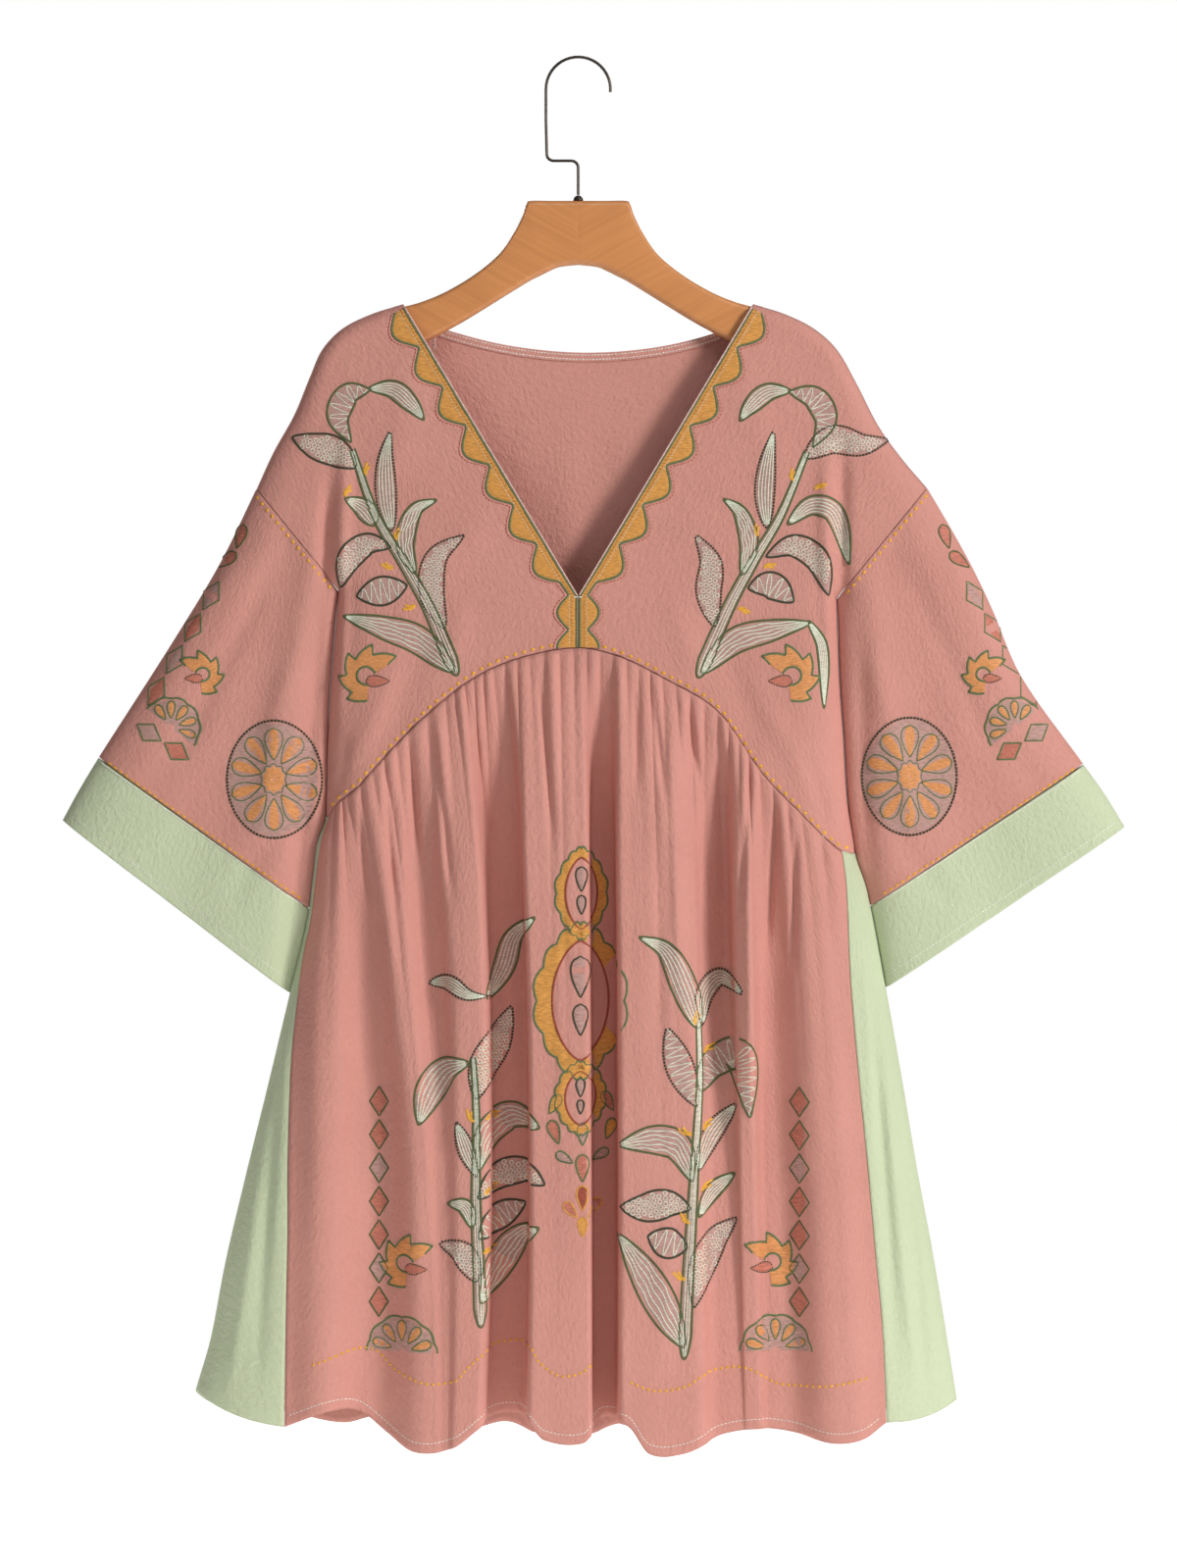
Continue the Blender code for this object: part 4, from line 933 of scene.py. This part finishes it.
class Needlework:
    """Stitches drawn in the front view and laid on one panel's outside."""

    def __init__(self, panel, way=FRONT):
        panel_mesh = panel.evaluated_get(bpy.context.evaluated_depsgraph_get())
        self.tree = BVHTree.FromObject(panel_mesh, bpy.context.evaluated_depsgraph_get())
        self.way = way
        self.strips = []

    def drop(self, point):
        """Where a place in the front view meets the panel, and which way its cloth faces."""
        start = Vector((point[0] * MM, self.way * 0.5, point[1] * MM))
        hit, normal, _, _ = self.tree.ray_cast(start, Vector((0.0, -self.way, 0.0)))
        return (None, None) if hit is None else (hit, normal)

    def thread(self, points, width, colour, height=None):
        """A thread along a line. It stops where a fold hides the cloth, and goes on behind."""
        widths = np.broadcast_to(width, len(points))
        heights = np.broadcast_to(THREAD_ROUND * widths if height is None else height, len(points))
        run = []
        for point, wide, high in zip(points, widths, heights):
            hit, normal = self.drop(point)
            if hit is None or (run and (hit - run[-1][0]).length > THREAD_JUMP):
                self.close_thread(run, colour)
                run = []
            if hit is not None:
                run.append((hit, normal, wide, high))
        self.close_thread(run, colour)

    def close_thread(self, run, colour):
        if len(run) < 2:
            return
        places, normals, widths, heights = (np.array(column) for column in zip(*run))
        ahead = np.gradient(places, axis=0)
        across = np.cross(ahead, normals)
        across /= np.maximum(np.linalg.norm(across, axis=1), 1e-9)[:, None]
        reach = across * (widths / 2 * MM)[:, None]
        low = places - normals * SUNK
        strip = np.stack([low - reach, places + normals * (heights * MM)[:, None], low + reach], 1)
        self.strips.append((strip, THREADS.index(colour)))

    def dashes(self, points, width, colour, dash=1.7, gap=0.7, height=None):
        """Short stitches in a row along a line."""
        lengths = lengths_to(points)
        start = 0.0
        while start + dash < lengths[-1]:
            stitch = between(points, lengths, np.linspace(start, start + dash, 4))
            self.thread(stitch, width, colour, height)
            start += dash + gap

    def dots(self, points, pitch, long, wide, colour, height=0.9):
        """Small raised oval stitches in a row along a line."""
        lengths = lengths_to(points)
        swell = np.sqrt(1.02 - np.linspace(-1, 1, 5) ** 2)
        for middle in np.arange(long, lengths[-1] - long, pitch):
            place = between(points, lengths, middle + np.linspace(-long / 2, long / 2, 5))
            self.thread(place, wide * swell, colour, height * swell)

    def ring(self, centre, radius, width, colour, sides=9):
        """A small round of thread."""
        angle = np.linspace(0, 2 * math.pi, sides + 1)
        self.thread(np.array(centre) + radius * turned(angle), width, colour)

    def satin(self, one, other, colour, height=0.3, across=6):
        """A patch of stitches laid side by side between two lines of as many points."""
        share = np.linspace(0, 1, across + 1)[None, :, None]
        lift = np.full(across + 1, height * MM)
        lift[[0, -1]] = -SUNK
        rows = []
        for row in one[:, None] * (1 - share) + other[:, None] * share:
            hits, normals = zip(*(self.drop(point) for point in row))
            jump = None in hits
            if not jump:
                places = np.array(hits) + np.array(normals) * lift[:, None]
                jump = np.abs(np.diff(places[:, 1])).max() > SATIN_JUMP
            if jump or (rows and np.abs(rows[-1][:, 1] - places[:, 1]).max() > SATIN_JUMP):
                self.close_satin(rows, colour)
                rows = []
            if not jump:
                rows.append(places)
        self.close_satin(rows, colour)

    def close_satin(self, rows, colour):
        if len(rows) > 1:
            self.strips.append((np.array(rows), THREADS.index(colour)))

    def finish(self, name, slot):
        """One piece from all the strips: a long grid for each width, cut between the strips."""
        bm = bmesh.new()
        for size in sorted({strip.shape[1] for strip, _ in self.strips}):
            strips = [(strip, colour) for strip, colour in self.strips if strip.shape[1] == size]
            index = lay_grid(bm, np.concatenate([strip for strip, _ in strips]), 1.0)
            owner = np.concatenate([np.full(len(strip), k) for k, (strip, _) in enumerate(strips)])
            loose = []
            for face in {face for vertex in index for face in vertex.link_faces}:
                ends = {owner[index[vertex][0]] for vertex in face.verts}
                if len(ends) > 1:
                    loose.append(face)
                else:
                    face.material_index = strips[ends.pop()][1]
            bmesh.ops.delete(bm, geom=loose, context="FACES")
        bmesh.ops.recalc_face_normals(bm, faces=bm.faces[:])
        piece = add_piece(name, bm, thread_materials[0])
        for material in thread_materials[1:]:
            piece.data.materials.append(material)
        return piece


def leaf(work, style, edge, width, belly, *midrib):
    """A leaf along a curved midrib: a thin ground, an outline and its filling of thread."""
    rib = smooth(px(*np.reshape(midrib, (-1, 2))))
    t = np.linspace(0, 1, len(rib))
    half = width * PIXEL / 2 * np.sin(math.pi * t ** (math.log(0.5) / math.log(belly))) ** 0.8
    left, right = aside(rib, half), aside(rib, -half)
    work.satin(left, right, "mauve", 0.12)
    if style in ("stripe", "wavy"):
        for row in (-0.66, -0.33, 0.0, 0.33, 0.66):
            wave = 0.5 * np.sin(9 * t * math.pi + 4 * row) if style == "wavy" else 0.0
            inner = aside(rib, half * row + wave * np.sin(math.pi * t))
            work.thread(inner[2:-2], 1.25, "mint", 0.7)
    elif style == "rings":
        for count, k in enumerate(range(2, len(rib) - 2, 3)):
            room = half[k] - 2.0
            rows = int(room / 2.0) + 1
            for row in range(-rows, rows + 1):
                offset = row * 4.0 + (2.0 if count % 2 else 0.0)
                if abs(offset) <= room:
                    ahead = rib[k + 1] - rib[k - 1]
                    across = unit(np.array((-ahead[1], ahead[0])))
                    work.ring(rib[k] + across * offset, 1.55, 1.05, "mint")
    else:
        k = np.arange(0, len(rib) * 4) / 4
        curl = np.interp(k, np.arange(len(rib)), half) - 1.3
        wave = np.sin(k * 1.25) * np.clip(curl, 0, None)
        work.thread(aside(between(rib, np.arange(len(rib)), k), wave)[6:-6], 1.1, "mint", 0.6)
    for side_line in (left, right):
        if edge == "dashed":
            work.dashes(side_line, 1.8, "dark")
        else:
            work.thread(side_line, 2.0, edge)


def cuff_row(side, outer, z, first, last, count):
    """Even places from a cuff's outer fold to its inner one, and the way up from the row."""
    start, end = np.array(outer, float), np.array((side_x(side, z), z))
    way = unit(end - start)
    up = np.array((-way[1], way[0])) * (1 if way[0] > 0 else -1)
    return start + (end - start) * np.linspace(first, last, count)[:, None], up


def stem(work, points, width):
    """The spray's stalk: outlined on both sides, with pale stripes between."""
    rib = smooth(px(*points))
    t = np.linspace(0, 1, len(rib))
    half = width * PIXEL / 2 * (0.35 + 0.65 * t) * np.clip((1 - t) / 0.07, 0, 1) ** 0.5
    work.satin(aside(rib, half), aside(rib, -half), "mauve", 0.15)
    for row in (-0.4, 0.1, 0.5):
        work.thread(aside(rib, half * row)[1:-2], 1.2, "mint", 0.8)
    for row in (1, -1):
        work.thread(aside(rib, half * row), 2.0, "olive")


def sprig(work, x, y, angle, size=13):
    """A few orange-gold straight stitches that spread from one point."""
    for turn, length in ((-16, 0.75), (0, 1.0), (18, 0.6)):
        way, reach = math.radians(angle + turn), size * length
        bend = (x + reach * 0.5 * math.cos(way + 0.25), y - reach * 0.5 * math.sin(way + 0.25))
        end = (x + reach * math.cos(way), y - reach * math.sin(way))
        work.thread(smooth(px((x, y), bend, end), 1.0), 2.2, "amber", 0.9)


def drop(work, centre, radius, way, colour, edge, dashed=False, plump=0.48):
    """A satin petal or seed, round at one end and pointed at the other."""
    turn = np.linspace(0, 1, 13)
    half = radius * plump * np.sin(math.pi * turn ** 0.62) ** 0.85
    rib = np.array(centre) + turned(way) * (radius * (1 - 2 * turn))[:, None]
    left, right = aside(rib, half), aside(rib, -half)
    work.satin(left, right, colour, 0.3, 4)
    round_it = np.concatenate([left, right[::-1]])
    if dashed:
        work.dashes(round_it, 1.1, edge, 1.3, 0.6)
    else:
        work.thread(round_it, 1.7, edge)


FLAMES = 5
FAN_PETALS = 5


def flame_flower(work, x, y, size, mirrored=1):
    """A flame-like flower in half profile, its petals round a small seed."""
    centre = px((x, y))
    angle = np.linspace(math.radians(35), math.radians(265), 81)
    share = (angle - angle[0]) / (angle[-1] - angle[0])
    tip = 1 - np.abs((share * FLAMES) % 1.0 * 2 - 1)
    outer = size * PIXEL * (0.8 + 0.42 * tip ** 1.2 * (1 - 0.4 * share))
    inner = size * PIXEL * (0.36 - 0.1 * np.cos(2 * math.pi * share))
    lean = angle - 0.34 * tip ** 1.2
    outside = centre + outer[:, None] * np.stack([mirrored * np.cos(lean), np.sin(lean)], -1)
    inside = centre + inner[:, None] * np.stack([mirrored * np.cos(angle), np.sin(angle)], -1)
    work.satin(inside, outside, "orange", 0.35, 5)
    work.thread(np.concatenate([inside[:1], outside, inside[::-1]]), 2.0, "green")
    seed = centre + np.array((mirrored * 0.3 * size * PIXEL, -0.12 * size * PIXEL))
    drop(work, seed, size * PIXEL * 0.42, math.pi if mirrored > 0 else 0.0, "terracotta", "dark", True)


def almond(work, centre, length, width, rim):
    """A pointed oval with a scalloped gold rim, a rust line and two pale seeds inside."""
    turns = np.linspace(0, 2 * math.pi, 97)
    bend = np.sign(np.sin(turns)) * np.abs(np.sin(turns)) ** 1.35
    shape = np.stack([width / 2 * bend, length / 2 * np.cos(turns)], -1)
    away = shape / np.hypot(shape[:, 0], shape[:, 1])[:, None]
    wave = rim * (1 + 0.3 * np.abs(np.sin(turns * 8)))
    inner, outer = centre + shape, centre + (shape + away * wave[:, None])
    work.satin(inner, outer, "gold", 0.4, 4)
    work.thread(outer, 1.9, "green")
    work.thread(inner, 1.9, "rust")
    for place, radius in ((0.2, 0.17), (-0.16, 0.13)):
        middle = centre + np.array((0.0, place * length))
        drop(work, middle, radius * length, math.pi / 2, "mauve", "dark")


def diamonds(work, start, end, count, width, colours, edge):
    """A row of pointed satin patches along a line, in turning colours."""
    start, end = np.array(start, float), np.array(end, float)
    for k in range(count):
        share = np.linspace(k + 0.06, k + 0.94, 9) / count
        rib = start + (end - start) * share[:, None]
        half = width / 2 * (1 - np.abs(np.linspace(-1, 1, 9)))
        left, right = aside(rib, half), aside(rib, -half)
        work.satin(left, right, colours[k % len(colours)], 0.3, 3)
        work.thread(np.concatenate([left, right[::-1]]), 1.6, edge)


def fan(work, centre, radius, way):
    """Half a rosette: a pale half disc and orange petals that spread from its middle."""
    spread = np.linspace(way - math.pi / 2, way + math.pi / 2, 33)
    rim = radius * (1 + 0.06 * np.abs(np.sin((spread - way) * FAN_PETALS)))[:, None]
    arc = centre + rim * turned(spread)
    work.satin(centre + (arc - centre) * 0.04, arc, "mauve", 0.2, 5)
    work.thread(np.concatenate([arc, arc[:1]]), 1.9, "green")
    for angle in np.linspace(way - 1.25, way + 1.25, FAN_PETALS):
        drop(work, centre + radius * 0.62 * turned(angle), radius * 0.3, angle, "orange", "green")


# Yoke embroidery: a leaf spray with a flame-like flower on each side of the neckline, alike
# but not mirrored to the thread.
YOKE_LEAVES = {
    # filling, outline, width, widest place, midrib from base to tip in picture pixels
    LEFT: (
        ("squiggle", "olive", 25, 0.55, 359, 453, 346, 427, 356, 404, 378, 399),
        ("stripe", "olive", 19, 0.5, 376, 398, 402, 399, 420, 414, 433, 430),
        ("rings", "dark", 30, 0.45, 364, 478, 342, 462, 322, 456, 299, 447),
        ("stripe", "dashed", 21, 0.42, 400, 543, 395, 510, 394, 470, 399, 441),
        ("stripe", "olive", 20, 0.4, 384, 537, 372, 520, 353, 510),
        ("wavy", "olive", 19, 0.45, 424, 587, 414, 556, 424, 522, 446, 511),
        ("rings", "dark", 25, 0.5, 400, 559, 376, 556, 357, 572, 348, 600),
        ("rings", "dashed", 26, 0.45, 454, 642, 441, 605, 446, 570, 474, 547),
        ("squiggle", "dark", 29, 0.5, 416, 598, 395, 603, 365, 609),
        ("wavy", "olive", 28, 0.42, 464, 686, 428, 654, 392, 641, 351, 629),
    ),
    RIGHT: (
        ("squiggle", "olive", 25, 0.55, 828, 458, 841, 430, 830, 408, 804, 401),
        ("stripe", "olive", 19, 0.5, 806, 400, 782, 402, 764, 417, 754, 431),
        ("rings", "dashed", 28, 0.42, 820, 468, 848, 450, 878, 455, 906, 449),
        ("stripe", "dashed", 20, 0.42, 781, 540, 779, 505, 782, 472, 788, 441),
        ("stripe", "olive", 21, 0.45, 802, 536, 827, 517, 850, 525, 865, 577),
        ("wavy", "olive", 19, 0.45, 756, 588, 763, 556, 754, 524, 737, 510),
        ("rings", "dark", 25, 0.5, 780, 569, 808, 558, 832, 572, 844, 608),
        ("rings", "dashed", 26, 0.45, 728, 640, 722, 605, 724, 575, 709, 547),
        ("squiggle", "dark", 27, 0.5, 762, 601, 785, 598, 808, 615),
        ("wavy", "olive", 26, 0.45, 714, 688, 748, 655, 790, 643, 826, 636),
        ("stripe", "olive", 11, 0.4, 823, 634, 837, 660, 839, 723),
    ),
}
YOKE_STEMS = {LEFT: ((360, 460), (384, 527), (411, 573), (438, 621), (467, 690)),
              RIGHT: ((822, 462), (795, 527), (768, 573), (742, 621), (711, 692))}
YOKE_SPRIGS = {
    # x and y of the foot, direction in degrees
    LEFT: ((374, 486, 84), (353, 508, 62), (405, 552, 80), (402, 580, 165), (424, 618, 200)),
    RIGHT: ((808, 492, 96), (830, 500, 20), (772, 548, 100), (778, 580, 12), (752, 622, -20)),
}
yoke_work = {}
for side, x in ((LEFT, 378), (RIGHT, 803)):
    work = yoke_work[side] = Needlework(front_bodices[side])
    for row in YOKE_LEAVES[side]:
        leaf(work, *row)
    stem(work, YOKE_STEMS[side], 15)
    for foot_x, foot_y, angle in YOKE_SPRIGS[side]:
        sprig(work, foot_x, foot_y, angle)
    flame_flower(work, x, 692, 29, 1 if side == LEFT else -1)


# Neckline band: gold satin scallops along the V and its stitched slit, with a green cord on
# both sides, a rose cord outside, white and rust stitches inside, and a pale piped edge.
SCALLOPS = 7.41
for side, across in ((LEFT, 1), (RIGHT, -1)):
    work = yoke_work[side]
    top = np.array((across * SHOULDER[LEFT][0][0], SHOULDER[LEFT][0][1]))
    foot = np.array((-across * 0.6, V_FOOT_Z))
    slit = np.array((-across * 0.6, SLIT_FOOT_Z - 1.0))
    neck_length = np.hypot(*(foot - top))
    along = np.linspace(0.012, 1, 170)
    outward = np.array((-across * abs(foot[1] - top[1]), -abs(foot[0] - top[0]))) / neck_length
    lobe = np.abs(np.sin(math.pi * np.minimum(along * SCALLOPS, 7.0))) ** 1.25
    down = np.linspace(0, 1, 40)[1:]
    slit_lobe = np.abs(np.sin(math.pi * down * 1.55)) ** 1.1
    edge = np.concatenate([top + (foot - top) * along[:, None], foot + (slit - foot) * down[:, None]])
    turn = np.clip((along - 0.93) / 0.07, 0, 1)[:, None]
    ways = np.concatenate([outward * (1 - turn) + np.array((-across, 0.0)) * turn,
                           np.repeat([(-across, 0.0)], len(down), axis=0)])
    reach = np.concatenate([6.2 + 12.0 * lobe, 6.2 + 8.5 * slit_lobe])[:, None]
    work.satin(edge + ways * 0.9, edge + ways * reach, "gold", 0.4, 6)
    rim = np.concatenate([np.full(len(along), 1.8), np.full(len(down), 0.6)])[:, None]
    work.thread(edge + ways * rim, 1.7, "green", 0.9)
    work.thread(edge + ways * reach, 2.1, "green", 0.9)
    work.thread(edge + ways * (reach + 2.3), 1.4, "rose", 0.6)
    work.dashes(edge + ways * (reach + 3.2), 0.9, "rust", 1.5, 1.2)
    work.dashes(edge + ways * 6.0, 0.9, "cream", 1.2, 1.1, 0.75)
    work.dashes(edge + ways * 4.0, 0.9, "rust", 1.2, 1.5, 0.75)
    piped = len(along)
    work.thread(edge[:piped] + ways[:piped] * 0.3, 1.1, "blush", 0.6)


# Seam stitches on the yoke: raised amber dots along the raised waist, and a cream bar that
# closes the top of the slit.
for side in SIDES:
    work = yoke_work[side]
    inner_x, outer_x = (-14, FRONT_WAIST[0][0] + 3) if side == LEFT else (14, FRONT_WAIST[-1][0] - 3)
    xs = np.linspace(outer_x, inner_x, 60)
    waist_line = np.stack([xs, read(FRONT_WAIST, xs) + 3.4], -1)
    work.dots(waist_line, 6.8, 3.7, 2.5, "amber", 1.2)
    bar_x = np.array((0.3, 3.0)) * (-1 if side == LEFT else 1)
    work.thread(np.stack([bar_x, np.full(2, V_FOOT_Z - 1.5)], -1), 1.4, "cream", 1.2)
    work.finish(f"yoke_embroidery_{side}", "pink_cloth")


# Sleeve embroidery: a satin disc with a ten-petalled rosette near each sleeve's inner fold,
# and two drops, rows of diamonds, a flame flower and a fan along the outer edge. Amber dots
# are sewn along both of its seams.
ROSETTES = {LEFT: (281, 795), RIGHT: (926, 792)}
ROSETTE_REACH = (35.0, 43.5)
ROSETTE_PETALS = 10
SLEEVE_DIAMONDS = (
    # first and last place in picture pixels, diamonds between
    ((226, 592), (152, 722), 4),
    ((140, 738), (196, 776), 2),
)
SLEEVE_FAN = (176, 742)
SLEEVE_FLAME = (206, 690)
SLEEVE_DROPS = ((246, 548, 75), (232, 572, 35))
MIRROR_SHIFT = 30


def mirror(side, place):
    """A place in picture pixels, moved for the right sleeve, which reaches a little further out."""
    return place if side == LEFT else (2 * MIDDLE_PIXEL - place[0] + MIRROR_SHIFT, place[1])


for side in SIDES:
    work = Needlework(sleeves[side])
    centre = px(ROSETTES[side])
    spin = np.linspace(0, 2 * math.pi, 73)
    rim = turned(spin) * ROSETTE_REACH
    work.satin(centre + rim * 0.02, centre + rim, "mauve", 0.25, 9)
    work.dashes(centre + rim, 2.0, "dark", 1.9, 0.7)
    for petal in range(ROSETTE_PETALS):
        way = math.radians(90 + 360 / ROSETTE_PETALS * petal)
        drop(work, centre + turned(way) * (21.0, 26.0), 11.8, way, "orange", "green", plump=0.56)
    heart = turned(spin) * (9.0, 11.0) * (1 - 0.08 * np.cos(ROSETTE_PETALS * spin[:, None]))
    work.satin(centre + heart * 0.05, centre + heart, "orange", 0.45, 4)
    work.thread(centre + heart, 1.2, "green", 0.8)
    work.ring(centre, 3.6, 1.3, "green", 16)
    seam = armhole(side, np.linspace(0.02, 0.98, 40), -3.4)
    work.dots(seam, 6.1, 3.4, 2.4, "amber", 1.2)
    cuff_line, up = cuff_row(side, CUFF_OUTER[side][0], SLEEVE_SEAM_Z[side], 0.03, 0.97, 60)
    work.dots(cuff_line + up * 1.8, 5.2, 3.9, 1.9, "amber", 1.0)
    for first, last, count in SLEEVE_DIAMONDS:
        diamonds(work, *px(mirror(side, first), mirror(side, last)), count, 14.5,
                 ("mauve", "terracotta"), "green")
    fan(work, px(mirror(side, SLEEVE_FAN)), 21.0, math.radians(52 if side == LEFT else 128))
    flame_flower(work, *mirror(side, SLEEVE_FLAME), 22, -1 if side == LEFT else 1)
    for x, y, angle in SLEEVE_DROPS:
        way = math.radians(angle if side == LEFT else 180 - angle)
        drop(work, px(mirror(side, (x, y))), 9.0, way, "terracotta", "olive")
    work.finish(f"sleeve_embroidery_{side}", "pink_cloth")


# Skirt embroidery, laid over the folds: two tall leaf sprays, three stacked pointed ovals
# over a spray of seeds in the middle, a column of diamonds with a flame flower and a fan in
# each lower corner, and amber dots and cream stitches above the hem.
SKIRT_LEAVES = (
    ("stripe", "olive", 22, 0.45, 498, 1017, 514, 985, 524, 955, 546, 934),
    ("stripe", "dashed", 16, 0.6, 499, 1014, 478, 1012, 458, 1000, 438, 1001),
    ("rings", "dashed", 30, 0.45, 487, 1117, 494, 1085, 508, 1060, 522, 1025),
    ("stripe", "olive", 30, 0.5, 480, 1080, 456, 1088, 440, 1110, 429, 1143),
    ("stripe", "dashed", 17, 0.5, 488, 1195, 478, 1170, 467, 1140),
    ("wavy", "olive", 30, 0.55, 489, 1190, 500, 1152, 522, 1136, 551, 1146),
    ("rings", "dark", 28, 0.5, 489, 1217, 512, 1196, 535, 1192, 556, 1203),
    ("stripe", "olive", 15, 0.5, 484, 1247, 476, 1225, 458, 1222),
    ("squiggle", "dark", 26, 0.5, 490, 1257, 510, 1238, 536, 1224),
    ("rings", "dashed", 24, 0.45, 488, 1300, 474, 1272, 450, 1262),
    ("wavy", "olive", 30, 0.5, 492, 1322, 512, 1282, 530, 1258, 550, 1246),
    ("stripe", "olive", 26, 0.4, 711, 1046, 697, 1005, 678, 968, 651, 954),
    ("stripe", "dashed", 20, 0.5, 715, 1044, 718, 1012, 734, 996, 756, 1012),
    ("squiggle", "dashed", 28, 0.5, 709, 1125, 694, 1090, 679, 1045),
    ("squiggle", "olive", 32, 0.42, 713, 1110, 726, 1084, 752, 1074, 763, 1136),
    ("stripe", "dashed", 20, 0.5, 710, 1190, 724, 1155, 750, 1123),
    ("wavy", "olive", 30, 0.5, 705, 1200, 690, 1165, 668, 1158, 630, 1163),
    ("stripe", "olive", 16, 0.5, 711, 1236, 725, 1212, 748, 1193),
    ("rings", "dark", 30, 0.5, 703, 1227, 680, 1222, 656, 1226, 632, 1225),
    ("squiggle", "dark", 30, 0.5, 700, 1266, 682, 1262, 660, 1254),
    ("rings", "dashed", 28, 0.5, 706, 1326, 714, 1288, 728, 1260, 750, 1238),
    ("wavy", "olive", 33, 0.45, 696, 1366, 672, 1320, 655, 1290, 630, 1252),
)
SKIRT_STEMS = (((484, 1075), (487, 1130), (487, 1225), (490, 1290), (492, 1346)),
               ((711, 1040), (712, 1100), (706, 1200), (700, 1300), (696, 1378)))
SKIRT_SPRIGS = ((497, 1138, 24), (485, 1140, 120), (496, 1213, 35), (494, 1272, 20), (708, 1043, 82),
                (717, 1072, 40), (704, 1152, 160), (716, 1150, 52), (714, 1210, 40), (702, 1242, 130),
                (698, 1298, 150))
SKIRT_ALMONDS = ((593, 910, 72, 52), (592, 1018, 120, 92), (592, 1116, 54, 50))
SKIRT_SEEDS = (
    # x, y in picture pixels, half length, way it points, colour
    (566, 1122, 8, 60, "gold"), (620, 1122, 8, 120, "terracotta"), (566, 1150, 9, 110, "terracotta"),
    (622, 1150, 8, 70, "gold"), (594, 1152, 8, 90, "mauve"), (594, 1186, 10, 90, "terracotta"),
    (576, 1176, 7, 150, "mauve"), (612, 1176, 7, 30, "mauve"), (594, 1216, 9, 90, "rust"),
    (582, 1228, 7, 130, "terracotta"), (606, 1228, 7, 50, "terracotta"), (594, 1245, 7, 90, "gold"),
)
HEM_DOTS = (
    ((320, 1385), (365, 1370), (385, 1372), (405, 1390), (435, 1402), (465, 1400), (480, 1385),
     (505, 1367), (540, 1365), (550, 1380), (570, 1394), (590, 1392), (606, 1382)),
    ((640, 1400), (665, 1409), (695, 1406), (715, 1395), (730, 1390), (760, 1389), (790, 1405),
     (815, 1407), (845, 1405), (885, 1397)),
)
skirt_work = Needlework(skirt_front)
for row in SKIRT_LEAVES:
    leaf(skirt_work, *row)
for points in SKIRT_STEMS:
    stem(skirt_work, points, 13)
for x, y, angle in SKIRT_SPRIGS:
    sprig(skirt_work, x, y, angle, 15)
for x, y, length, width in SKIRT_ALMONDS:
    almond(skirt_work, px((x, y)), length * PIXEL, width * PIXEL * 0.62, width * PIXEL * 0.17)
for x, y, radius, way, colour in SKIRT_SEEDS:
    drop(skirt_work, px((x, y)), radius, math.radians(way), colour, "gold" if y > 1200 else "green")
for x, foot_x, inward in ((388, 412, 1), (813, 789, -1)):
    diamonds(skirt_work, *px((x, 1104), (x, 1340)), 7, 14.0,
             ("terracotta", "terracotta", "mauve"), "olive")
    fan(skirt_work, px((foot_x, 1372)), 25.0, math.pi / 2)
    flame_flower(skirt_work, foot_x + 6 * inward, 1285, 27, inward)
for points in HEM_DOTS:
    skirt_work.dots(smooth(px(*points)), 4.4, 2.6, 2.2, "amber", 1.1)
hem_x = np.linspace(-212, 223, 300)
skirt_work.dashes(np.stack([hem_x, read(FRONT_HEM, hem_x) + 7.3], -1), 0.7, "cream", 1.9, 0.9, 0.35)
skirt_work.finish("skirt_embroidery", "pink_cloth")


# Hem and binding stitches: cream machine stitches along the cuffs' edges, with mint piping
# at their seams, two rows of stitches on the back neck binding, and a short overlocked bit
# of the shoulder seam inside the back.
for side in SIDES:
    work = Needlework(cuffs[side])
    edge, up = cuff_row(side, CUFF_OUTER[side][-1], CUFF_EDGE_Z[side], 0.02, 0.98, 90)
    work.dashes(edge + up * 7.0, 0.7, "cream", 1.9, 0.9, 0.35)
    piping, _ = cuff_row(side, CUFF_OUTER[side][0], SLEEVE_SEAM_Z[side], 0.02, 0.97, 90)
    work.thread(piping - up * 1.6, 1.3, "mint", 0.6)
    work.finish(f"cuff_stitches_{side}", "green_cloth")
along_neck = np.linspace(0.02, 0.98, 200)
work = Needlework(binding)
for row in (0.25, 0.72):
    work.dashes(upper(along_neck) * (1 - row) + lower(along_neck) * row, 0.8, "cream", 1.7, 0.8, 0.35)
work.finish("binding_stitches", "pink_cloth")
work = Needlework(yoke_back)
zigzag = px(*[(441 + 3 * (k % 2), 337 + 1.6 * k) for k in range(12)])
work.thread(zigzag, 0.8, "cream", 0.4)
work.finish("overlock_stitches", "pink_cloth")
